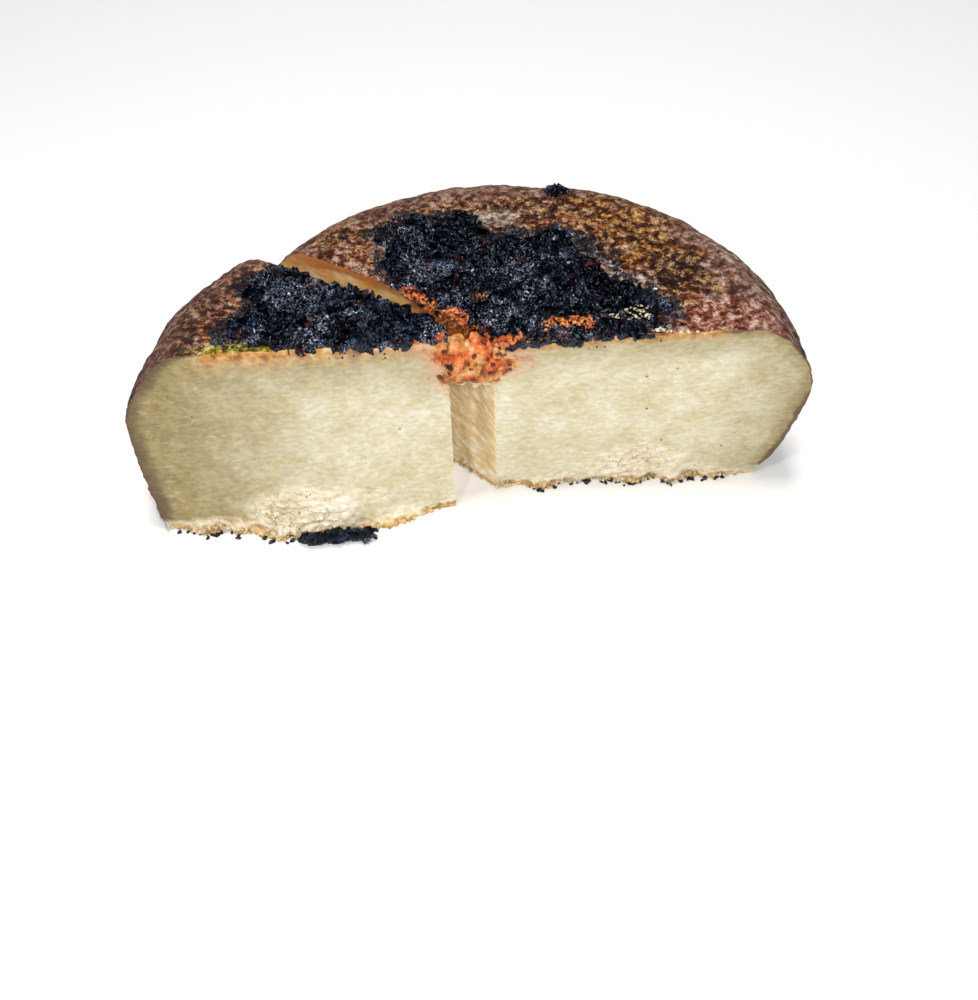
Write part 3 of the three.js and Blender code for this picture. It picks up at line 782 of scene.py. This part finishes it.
# how far inside a crust's outline a place on the plan is
def crustReach(spec, x, y):
    seed, flat = spec["seed"], np.stack([x, y, 0 * x], 1)
    turn = np.arctan2(y - spec["centre"][1], x - spec["centre"][0]) / (2 * math.pi) % 1 * 18
    low = np.floor(turn).astype(int)
    radii = np.array(spec["radii"], float)
    reach = radii[low % 18] + (radii[(low + 1) % 18] - radii[low % 18]) * smooth(turn - low, 0, 1)
    reach += 1 + 1.8 * layered(flat, 7, seed + 1) + 0.9 * noise(flat, 1.6, seed + 2)
    return reach - np.hypot(x - spec["centre"][0], y - spec["centre"][1])


# a square lattice on the plan that takes in a crust and somewhat more
def latticeRound(spec, more, cell):
    furthest = max(spec["radii"]) + more
    steps = np.arange(-furthest, furthest, cell)
    return lattice(spec["centre"][0] + steps, spec["centre"][1] + steps)


def wholeCells(kept):
    return kept[:-1, :-1] & kept[1:, :-1] & kept[:-1, 1:] & kept[1:, 1:]


def fromTip(portion, x, y):
    return np.hypot(x - portion["tip"][0], y - portion["tip"][1])


def makeCrust(spec, material):
    look, portion, seed = crustLook, spec["portion"], spec["seed"]
    x, y, shape = latticeRound(spec, 3, look["cell"])
    flat = np.stack([x, y, 0 * x], 1)
    inside = crustReach(spec, x, y)
    behind = spec["backHang"] * (2.4 - 1.4 * smooth(fromTip(portion, x, y), 18, 42))
    cuts = insideCuts(portion, x, y, behind) + look["overhang"] * (0.75 + 0.6 * layered(flat, 2.6, seed + 3))
    bare = patchy(x, y, spec["bare"]) + 0.25 * noise(flat, 1.5, seed + 9)
    kept = ((inside > -0.5) & (cuts > 0) & (bare < 0.5)).reshape(shape)

    body = look["thickness"] * (0.6 + 0.4 * noise(flat, 6, seed)) * smooth(inside, -1, 9)
    body *= 0.45 + 0.55 * smooth(cuts, 0, 4)
    warped = flat + 1.6 * np.stack([noise(flat, 4, seed + 4), noise(flat, 4, seed + 5), 0 * x], 1)
    folds = sum(high * creased(warped, wide, seed + n, 2) for n, (high, wide) in enumerate(look["folds"], 6))
    ground = topSurface(portion, x, y)
    top = ground + body + folds * smooth(inside, -0.5, 3) - look["sunk"]
    hang = spec["hang"] * (1 + 1.1 * layered(flat, 4.5, seed + 8) + 0.4 * noise(flat, 1.3, seed + 10))
    bottom = ground - hang - look["sunk"]
    top = np.maximum(top, bottom + look["thinnest"])
    faces, used = latticeFaces(shape, wholeCells(kept))
    points = np.concatenate([np.stack([x, y, top], 1), np.stack([x, y, bottom], 1)])[used]
    piece = meshPiece(spec["name"], inPart(points), faces, [material], sharpAngle=32)
    print(spec["name"], "made,", 2 * len(faces), "triangles")
    return piece


# where bits may be strewn on a crust: not at its border nor beside its bare places
def strewSurface(core, spec, margin=2.2):
    mesh = bmesh.new()
    mesh.from_mesh(core.data)
    faces = list(mesh.faces)
    centres = np.array([face.calc_center_median()[:] for face in faces]) * 1000 - np.array([*wheel["centre"], 0])
    x, y = centres[:, 0], centres[:, 1]
    grown = [(*middle, halfX + margin, halfY + margin, 1) for *middle, halfX, halfY, _ in spec["bare"]]
    near = (patchy(x, y, grown) > 0.35) | (crustReach(spec, x, y) < margin)
    bmesh.ops.delete(mesh, geom=[face for face, isNear in zip(faces, near) if isNear], context="FACES")
    surface = bpy.data.meshes.new(core.name + " surface")
    mesh.to_mesh(surface)
    mesh.free()
    return surface


# closed skin of a lattice: a top and a bottom sheet over the cells that are kept, and walls round them
def latticeFaces(shape, cells):
    i, j = np.nonzero(cells)
    a = i * shape[1] + j
    corners = np.stack([a, a + shape[1], a + shape[1] + 1, a + 1], 1)
    under = shape[0] * shape[1]
    faces = [corners, corners[:, ::-1] + under]
    padded = np.pad(cells, 1)
    for di, dj, first, second in ((-1, 0, 3, 0), (1, 0, 1, 2), (0, -1, 0, 1), (0, 1, 2, 3)):
        edge = cells & ~padded[1 + di:1 + di + cells.shape[0], 1 + dj:1 + dj + cells.shape[1]]
        picked = edge[i, j]
        start, end = corners[picked, first], corners[picked, second]
        faces.append(np.stack([end, start, start + under, end + under], 1))
    used, faces = np.unique(np.concatenate(faces), return_inverse=True)
    return faces.reshape(-1, 4), used


# one pressed skin: a thin ragged sheet, curled and crumpled
def skinBit(name, seed, length=6.2, width=4.6, thick=0.3, across=10, along=8):
    u, v, shape = lattice(np.linspace(-1, 1, across), np.linspace(-1, 1, along))
    flat = np.stack([u * 3, v * 3, 0 * u], 1)
    x = length / 2 * u * np.sqrt(1 - 0.45 * v**2) + 0.7 * noise(flat, 1.3, seed)
    y = width / 2 * v * np.sqrt(1 - 0.6 * u**2) + 0.7 * noise(flat, 1.3, seed + 1)
    z = 0.16 * y**2 - 0.06 * x**2 + 0.75 * creased(flat, 2.4, seed + 2, 2) + 0.35 * noise(flat, 0.9, seed + 3)
    faces, used = latticeFaces(shape, np.ones((across - 1, along - 1), bool))
    points = np.concatenate([np.stack([x, y, z + half], 1) for half in (thick / 2, -thick / 2)])
    return meshPiece(name, points[used], faces, [], sharpAngle=50, linked=False)


# a shred of skin or stalk: a thin bent strip with closed ends
def shredBit(name, seed, length=5.0, width=0.5, thick=0.22, steps=8):
    bend = np.random.default_rng(seed).uniform(0.6, 2.2)
    along = np.linspace(-0.5, 0.5, steps + 1)
    middle = np.stack([np.sin(bend * along) / bend, (1 - np.cos(bend * along)) / bend,
                       0.08 * np.sin(5 * along + seed)], 1) * length
    taper = np.sqrt(np.clip(1 - (1.9 * along) ** 2, 0.04, 1))
    corners = [(-1, -1), (1, -1), (1, 1), (-1, 1)]
    points = np.concatenate([
        [m + (0, a * width / 2 * t, b * thick / 2) for a, b in corners] for m, t in zip(middle, taper)])
    faces = []
    for n in range(0, 4 * steps, 4):
        faces += [(n + k, n + (k + 1) % 4, n + 4 + (k + 1) % 4, n + 4 + k) for k in range(4)]
    faces += [(3, 2, 1, 0), tuple(4 * steps + k for k in range(4))]
    return meshPiece(name, points, faces, [], sharpAngle=60, linked=False)


def ballPoints(detail):
    shape = bmesh.new()
    bmesh.ops.create_icosphere(shape, subdivisions=detail, radius=1)
    points = np.array([vertex.co[:] for vertex in shape.verts])
    faces = np.array([[vertex.index for vertex in face.verts] for face in shape.faces])
    shape.free()
    return points, faces


def lumpPoints(size, seed, detail, crumple):
    ball, faces = ballPoints(detail)
    grown = 1 + 0.22 * noise(3 * ball, 1, seed) + crumple * creased(ball, 0.55, seed + 1, 2)
    return ball * grown[:, None] * np.array(size), faces


def crumbBit(name, seed):
    points, faces = lumpPoints((1.1, 0.75, 0.5), seed, 3, 0.26)
    return meshPiece(name, points, faces, [], sharpAngle=45, linked=False)


# Bits laid on a surface, each turned and tipped its own way and sunk a little or not.
def strewTree():
    tree = bpy.data.node_groups.new("strewn bits", "GeometryNodeTree")
    kinds = {"Surface": "Geometry", "Bits": "Collection", "Seed": "Int", "Material": "Material"}
    for name in [*kinds, "Per Square Metre", "Smallest", "Largest", "Tip", "Least Up"]:
        kind = "NodeSocket" + kinds.get(name, "Float")
        tree.interface.new_socket(name=name, in_out="INPUT", socket_type=kind)
    tree.interface.new_socket(name="Strewn", in_out="OUTPUT", socket_type="NodeSocketGeometry")
    add = adderFor(tree)
    entry = add("NodeGroupInput").node.outputs
    facing = add("SeparateXYZ", add("GeometryNodeInputNormal"), out=2)
    spots = add("GeometryNodeDistributePointsOnFaces", Mesh=entry["Surface"], Density=entry["Per Square Metre"],
                Selection=add("FunctionNodeCompare GREATER_THAN", facing, entry["Least Up"]), Seed=entry["Seed"])
    least = add("CombineXYZ", *[add("Math MULTIPLY", entry["Tip"], -1)] * 2)
    most = add("CombineXYZ", entry["Tip"], entry["Tip"], 2 * math.pi)
    turned = add("FunctionNodeRandomValue", {0: least, 1: most, "Seed": entry["Seed"]}, data_type="FLOAT_VECTOR")
    turned = add("FunctionNodeRotateRotation", spots.node.outputs["Rotation"],
                 add("FunctionNodeEulerToRotation", turned), rotation_space="LOCAL")
    size = add("FunctionNodeRandomValue", {2: entry["Smallest"], 3: entry["Largest"], "Seed": entry["Seed"]}, out=1)
    kinds = add("GeometryNodeCollectionInfo", {
        "Collection": entry["Bits"], "Separate Children": True, "Reset Children": True})
    placed = add("GeometryNodeInstanceOnPoints", {
        "Points": spots, "Instance": kinds, "Pick Instance": True, "Rotation": turned, "Scale": size})
    toned = add("GeometryNodeStoreNamedAttribute", Geometry=placed, Name="tone", data_type="FLOAT", domain="INSTANCE",
                Value=add("FunctionNodeRandomValue", Seed=7, out=1))
    real = add("GeometryNodeRealizeInstances", toned)
    strewn = add("GeometryNodeSetMaterial", Geometry=real, Material=entry["Material"])
    feed(tree.nodes.new("NodeGroupOutput"), {0: strewn})
    return tree


def strew(name, surface, bits, material, count, sizes, tip, seed, leastUp=0.15):
    host = link(bpy.data.objects.new(name + " host", surface))
    kinds = bpy.data.collections.new(name + " kinds")
    for bit in bits:
        kinds.objects.link(bit)
    area = sum(face.area for face in surface.polygons if face.normal.z > leastUp)
    modifier = host.modifiers.new("strew", "NODES")
    modifier.node_group = strewing
    given = {"Bits": kinds, "Per Square Metre": count / area, "Seed": seed, "Smallest": sizes[0],
             "Largest": sizes[1], "Tip": tip, "Least Up": leastUp, "Material": material}
    for item in strewing.interface.items_tree:
        if item.in_out == "INPUT" and item.name in given:
            modifier[item.identifier] = given[item.name]
    host.update_tag()
    graph = bpy.context.evaluated_depsgraph_get()
    mesh = bpy.data.meshes.new_from_object(host.evaluated_get(graph))
    bpy.data.objects.remove(host)
    for bit in bits:
        kinds.objects.unlink(bit)
    bpy.data.collections.remove(kinds)
    mesh.name = name
    piece = link(bpy.data.objects.new(name, mesh))
    print(name, "strewn,", sum(len(face.vertices) - 2 for face in mesh.polygons), "triangles")
    return piece


# a helper sheet that bits are strewn on: quads from rows of points, turned to face up or forward
def sheetOf(strips):
    parts = []
    for strip in strips:
        a = np.arange(strip.size // 3).reshape(strip.shape[:2])
        faces = np.stack([a[:-1, :-1], a[1:, :-1], a[1:, 1:], a[:-1, 1:]], 2).reshape(-1, 4)
        parts.append((strip.reshape(-1, 3), faces))
    points, faces = joined(parts)
    mesh = bpy.data.meshes.new("helper")
    mesh.from_pydata((inPart(points) / 1000).tolist(), [], faces.tolist())
    for face in mesh.polygons:
        if face.normal.z < 0 or (face.normal.z < 0.3 and face.normal.y > 0.5):
            face.flip()
    mesh.update()
    return mesh


# a strip of floor along a cut's foot, from its own line to some way in front
def footStrip(portion, outFrom, outTo, near, far, isFront=True, height=0.0):
    outs = np.linspace(outFrom, outTo, 60)
    line, _, _ = portionPlaces(portion, outs, 0 * outs, np.full(60, 0.0 if isFront else 1.0))
    _, outward = cutWay(portion, isFront)
    strip = np.stack([line + outward * near, line + outward * far])
    strip[:, :, 2] = height
    return strip


# a patch of a cut, and one that stands free
def cutPatch(portion, outFrom, outTo, upFrom, upTo, turn=0, steps=12):
    outs, ups, shape = lattice(np.linspace(outFrom, outTo, steps), np.linspace(upFrom, upTo, steps))
    return portionPlaces(portion, outs, ups, 0 * outs + turn)[0].reshape(*shape, 3)


def uprightPatch(x, y, z, half):
    return np.array([[(x + i * half, y, z + k * half) for k in (-1, 1)] for i in (-1, 1)])


def topPatch(x, y, halfX, halfY, lift, steps=8):
    x, y, shape = lattice(np.linspace(x - halfX, x + halfX, steps), np.linspace(y - halfY, y + halfY, steps))
    return np.stack([x, y, topSurface(largePortion, x, y) + lift], 1).reshape(*shape, 3)


# the rind round a crust's outline, on which stray bits lie
def ringSheet(spec, width=6, cell=1.2):
    portion = spec["portion"]
    x, y, shape = latticeRound(spec, width, cell)
    beside, cuts = crustReach(spec, x, y), insideCuts(portion, x, y)
    onTop = fromTip(portion, x, y) < 0.93 * wheel["radius"] * portion["topRatio"]
    kept = ((beside > -width) & (beside < 0.5) & (cuts > 1) & onTop).reshape(shape)
    surface = np.stack([x, y, topSurface(portion, x, y) + 0.2], 1).reshape(*shape, 3)
    return [surface[i:i + 2, j:j + 2] for i, j in zip(*np.nonzero(wholeCells(kept)))]


# a strip of the top along a cut's edge
def edgeStrip(portion, fromTip, toTip, near, far, isFront, lift=0.1):
    angle, outward = cutWay(portion, isFront)
    reach = np.linspace(fromTip, toTip, 50)[None, :, None]
    inset = np.array([near, far])[:, None, None]
    if not isFront:
        inset = inset + portion["backLean"] * smooth(reach, 0, relief["tipFade"])
    plan = np.array([math.cos(angle), math.sin(angle)]) * reach - outward[:2] * inset + np.array(portion["tip"])
    plan[:, :, 1] += portion["lean"]
    height = topSurface(portion, plan[:, :, 0].ravel(), plan[:, :, 1].ravel()).reshape(plan.shape[:2]) + lift
    return np.concatenate([plan, height[:, :, None]], 2)


rind, paste, skins = makeRind(), makePaste(), makeSkins()
for name, portion in (("largeCheese", largePortion), ("sliceCheese", slicePortion)):
    piece = makePortion(name, portion, rind, paste)
    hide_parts(portion["node"])
    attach(piece, "root")

torn = makeTornCurd(paste)
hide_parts("right_portion")
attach(torn, "root")

strewing = strewTree()
skinBits = [skinBit(f"skin {n}", 300 + 7 * n) for n in range(5)]
shredBits = [shredBit(f"shred {n}", 350 + n) for n in range(5)]
for spec in (largeCrust, sliceCrust):
    core = makeCrust(spec, skins)
    loose = strew(spec["name"] + "Skins", strewSurface(core, spec), skinBits, skins, spec["skins"],
                  crustLook["skinSizes"], crustLook["skinTip"], spec["seed"])
    shreds = strew(spec["name"] + "Shreds", strewSurface(core, spec), shredBits, skins, spec["shreds"],
                   crustLook["shredSizes"], crustLook["shredTip"], spec["seed"] + 1)
    for piece in (core, loose, shreds):
        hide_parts(spec["node"])
        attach(piece, "root")

# lone clots of skins: one stuck near the rim at the back, and a row along the slice's foot
clots = {
    "rimClot": {"node": "rim_pomace", "size": (4.2, 3.2, 1.6), "lumps": [(23.24, 76.03, 50)],
                "standing": False, "skins": 9},
    "footClots": {"node": "foot_pomace", "size": (5.6, 2.7, 1.9),
                  "lumps": [(-60, -22, 61), (-53, -21.3, 62), (-46, -20.6, 63)], "standing": True, "skins": 44},
}
clotLook = {"core": 0.84, "lift": 0.48, "crumple": 0.14, "skinSizes": (0.3, 0.6), "skinTip": 0.5, "seed": 3}
for name, clot in clots.items():
    parts = []
    for x, y, seed in clot["lumps"]:
        size = [clotLook["core"] * half for half in clot["size"]]
        lump, faces = lumpPoints(size, seed, 5, clotLook["crumple"])
        if clot["standing"]:
            height = -lump[:, 2].min()
        else:
            height = topSurface(largePortion, np.array([x]), np.array([y]))[0] + clotLook["lift"]
        parts.append((lump + np.array([x, y, height]), faces))
    points, faces = joined(parts)
    piece = meshPiece(name, inPart(points), faces, [skins], sharpAngle=40)
    loose = strew(name + "Skins", piece.data.copy(), skinBits, skins, clot["skins"],
                  clotLook["skinSizes"], clotLook["skinTip"], clotLook["seed"])
    for piece in (piece, loose):
        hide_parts(clot["node"])
        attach(piece, "root")

# Loose bits: their own material or the skins', where they lie, how many, their smallest and largest
# size as a share of a bit's own, and how far they are tipped.
crumbs = {
    "pomaceCrumbs": {
        "material": ("dried pomace crumbs", "35 #08080b, 55 #1a1412, 70 #3d2a1e", 0.35), "slot": "pomace",
        "places": [footStrip(slicePortion, 0.62, 0.98, 0.2, 2.2), footStrip(slicePortion, 0.3, 0.62, 0.2, 3),
                   footStrip(largePortion, 0.12, 0.9, -0.2, 1.6)],
        "count": 130, "sizes": (0.3, 1.0), "tip": 1.2, "seed": 4,
    },
    "strayBits": {
        "material": ("stray pomace bits", "35 #050507, 55 #0f1016, 70 #2b2630", 0.3), "slot": "pomace",
        "places": ringSheet(largeCrust) + ringSheet(sliceCrust),
        "count": 420, "sizes": (0.18, 0.85), "tip": 0.8, "seed": 24,
    },
    "seedSpecks": {
        "material": ("grape seeds and specks", "35 #0a0706, 60 #2a1710", 0.35), "slot": "pomace",
        "places": [cutPatch(slicePortion, 0.05, 0.5, 0.9, 0.98), cutPatch(largePortion, 0.04, 0.6, 0.93, 0.985),
                   edgeStrip(largePortion, 12, 34, -0.6, 2.4, False, 0.5)],
        "count": 34, "sizes": (0.1, 0.42), "tip": 1.2, "seed": 18, "leastUp": -1.0,
    },
    "stainedCrumbs": {
        "material": ("curd soaked by wine, crumbled", "36 #3c1006, 45 #8c3510, 54 #c4611f, 66 #dc9a5c", 0.4),
        "places": [edgeStrip(largePortion, 3, 39, -0.5, 2.0, False), edgeStrip(largePortion, 0, 14, -0.2, 4, True),
                   edgeStrip(slicePortion, 1, 14, -0.2, 3, True)],
        "count": 560, "sizes": (0.25, 1.0), "tip": 1.2, "seed": 6,
    },
    "ridgeCrumbs": {
        "material": ("curd torn along the cut", "40 #34100a, 46 #8c3a10, 54 #c4661f, 64 #dca468", 0.4, 1.1),
        "places": [edgeStrip(largePortion, 6, 38, -1.2, 1.2, False, -0.7), topPatch(22, 5.4, 8, 2.2, 1.3)],
        "count": 170, "sizes": (0.5, 1.5), "tip": 0.6, "seed": 19,
    },
    "ridgeSkins": {
        "material": skins, "bits": skinBits, "slot": "pomace",
        "places": [edgeStrip(largePortion, 8, 38, -1.0, 2.4, False, 0.4), topPatch(22, 5.4, 9, 3.2, 2.1)],
        "count": 62, "sizes": (0.14, 0.42), "tip": 0.9, "seed": 27,
    },
    "tearCrumbs": {
        "material": ("curd crumbled along the tear", "40 #2a0c07, 46 #78330f, 54 #b25c20, 64 #d09a5c", 0.4, 1.1),
        "places": [cutPatch(largePortion, 0.07, 0.34, 0.9, 0.99, turn=1)],
        "count": 110, "sizes": (0.3, 1.1), "tip": 1.0, "seed": 31, "leastUp": -1.0,
    },
    # a few dark brown skins; the pale top of their colour paints glints on them, painted highlights
    "brownSkins": {
        "material": ("grape skin dried brown, with painted glints", "42 #0a0403, 52 #2c100a, 60 #6a2e1a, 68 #c89880", 0.12),
        "bits": skinBits, "slot": "pomace", "places": [topPatch(-4.5, 17.9, 1.6, 1.2, 3.7)],
        "count": 3, "sizes": (0.5, 0.85), "tip": 0.5, "seed": 35,
    },
    "spikyBit": {
        "material": ("burr of dried stalk", "40 #050405, 60 #1d1512", 0.4), "bits": shredBits, "slot": "pomace",
        "places": [uprightPatch(-13.8, -2.3, 58, 0.6)],
        "count": 16, "sizes": (0.45, 0.75), "tip": 1.0, "seed": 36, "leastUp": -1.0,
    },
    "curdFlaps": {
        "material": ("curd torn at the foot", "40 #a98f62, 52 #d6c190, 66 #efe4c4", 0.6), "bits": skinBits,
        "places": [footStrip(largePortion, 0.0, 0.05, -0.4, 0.9, height=0.7),
                   footStrip(slicePortion, 0.28, 0.36, -0.3, 0.8, height=0.8)],
        "count": 15, "sizes": (0.22, 0.5), "tip": 0.5, "seed": 33,
    },
    "footCrumbs": {
        "material": ("curd and rind crumbs", "38 #7c5a2c, 46 #c49c58, 55 #dfc082, 64 #f0e3bc", 0.6),
        "places": [footStrip(slicePortion, 0.04, 0.98, -0.6, 1.0, height=0.5),
                   footStrip(largePortion, 0.0, 0.95, -0.6, 0.8, height=0.5),
                   footStrip(largePortion, 0.0, 0.4, -0.6, 0.8, False, 0.5)],
        "count": 300, "sizes": (0.1, 0.66), "tip": 1.3, "seed": 8,
    },
    "curdCrumbs": {
        "material": ("curd broken at the foot", "40 #a48a66, 52 #cbb998, 66 #e4dac4", 0.6),
        "places": [cutPatch(slicePortion, 0.52, 0.64, 0.0, 0.12), cutPatch(slicePortion, 0.3, 0.95, 0.0, 0.03),
                   cutPatch(largePortion, 0.1, 0.9, 0.0, 0.03), cutPatch(largePortion, 0.0, 0.05, 0.0, 0.07)],
        "count": 330, "sizes": (0.2, 0.75), "tip": 1.2, "seed": 15, "leastUp": -1.0,
    },
    "paleCrumbs": {
        "material": ("fresh curd crumbs", "40 #a39673, 55 #cbc19e, 70 #e6dfc8", 0.6),
        "places": [topPatch(41, 7, 6, 3.2, 3.0), topPatch(57, 1.5, 4.5, 1.2, 0.2), topPatch(50, 1.3, 2.8, 1.0, 1.1)],
        "count": 66, "sizes": (0.18, 0.6), "tip": 0.7, "seed": 12,
    },
}
crumbBits = [crumbBit(f"crumb {n}", 400 + 5 * n) for n in range(4)]
for name, kind in crumbs.items():
    kind = {"bits": crumbBits, "slot": "cheese", "leastUp": 0.15} | kind
    material = kind["material"]
    if isinstance(material, tuple):
        material = makeCrumbMaterial(*material)
    piece = strew(name, sheetOf(kind["places"]), kind["bits"], material, kind["count"], kind["sizes"],
                  kind["tip"], kind["seed"], kind["leastUp"])
    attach(piece, "root")

# plain pale floor under the whole
floorMesh = bpy.data.meshes.new("floor")
half = 3
floorMesh.from_pydata([(-half, -half, 0), (half, -half, 0), (half, half, 0), (-half, half, 0)], [], [(0, 1, 2, 3)])
floor = link(bpy.data.objects.new("floor", floorMesh))
floor.location.z = -0.0002  # just below the feet
floorMaterial, _, floorShader, _ = newMaterial("matt white paint")
feed(floorShader, {"Base Color": "#f6f5f2", "Roughness": 0.9})
floorMesh.materials.append(floorMaterial)
floor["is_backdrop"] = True

# degrees, and mm from the wheel's centre
view = {"elevation": 49.61, "roll": -1.894, "place": (-3.014, -276.757, 318.0), "lens": 44.79, "sensor": 36}
camera = link(bpy.data.objects.new("camera", bpy.data.cameras.new("camera")))
camera.data.lens, camera.data.sensor_width = view["lens"], view["sensor"]
camera.data.clip_start = 0.01
elevation, roll = math.radians(view["elevation"]), math.radians(view["roll"])
forward = Vector((0, math.cos(elevation), -math.sin(elevation)))
level, upright = Vector((1, 0, 0)), Vector((0, math.sin(elevation), math.cos(elevation)))
right = math.cos(roll) * level + math.sin(roll) * upright
upwards = -math.sin(roll) * level + math.cos(roll) * upright
turned = Matrix((right, upwards, -forward)).transposed().to_4x4()
placed = Vector(view["place"]) + Vector((*wheel["centre"], 0))
camera.matrix_world = Matrix.Translation(placed / 1000) @ turned
bpy.context.scene.camera = camera

# A dim surround keeps the wet skins black. A broad lamp overhead and one in front light the whole
# softly, and a small one near the camera gives the skins their glints.
studio = {
    "surround": {"Color": "#eef1f6", "Strength": 0.2},
    "lamps": {
        "overhead": {"place": (0, 0.15, 1.25), "size": 0.34, "power": 10.4},
        "front": {"place": (0.24, -0.5, 0.42), "size": 0.12, "power": 0.8},
        "left": {"place": (-0.5, -0.34, 0.35), "size": 0.14, "power": 0.8},
        "flash": {"place": (0.03, -0.34, 0.36), "size": 0.06, "power": 0.9},
        "spark": {"place": (-0.12, -0.26, 0.42), "size": 0.05, "power": 0.4},
    },
}
world = bpy.data.worlds.new("studio")
world.use_nodes = True
feed(world.node_tree.nodes["Background"], studio["surround"])
bpy.context.scene.world = world
for name, lamp in studio["lamps"].items():
    data = bpy.data.lights.new(name, "AREA")
    data.size, data.energy = lamp["size"], lamp["power"]
    light = link(bpy.data.objects.new(name, data))
    light.location = lamp["place"]
    light.rotation_mode = "QUATERNION"
    light.rotation_quaternion = (-Vector(lamp["place"])).to_track_quat("-Z", "Y")
bpy.context.scene.view_settings.view_transform = "Standard"

# nothing reaches past the solids' own box or under the floor
margin = 2e-5
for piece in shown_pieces():
    if piece.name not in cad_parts:
        places = np.empty(3 * len(piece.data.vertices), np.float32)
        piece.data.vertices.foreach_get("co", places)
        kept = np.clip(places.reshape(-1, 3), np.array(cadLow) + margin, np.array(cadHigh) - margin)
        kept[:, 2] = np.where(places[2::3] <= 1e-6, 0, kept[:, 2])
        piece.data.vertices.foreach_set("co", kept.ravel())
        piece.data.update()
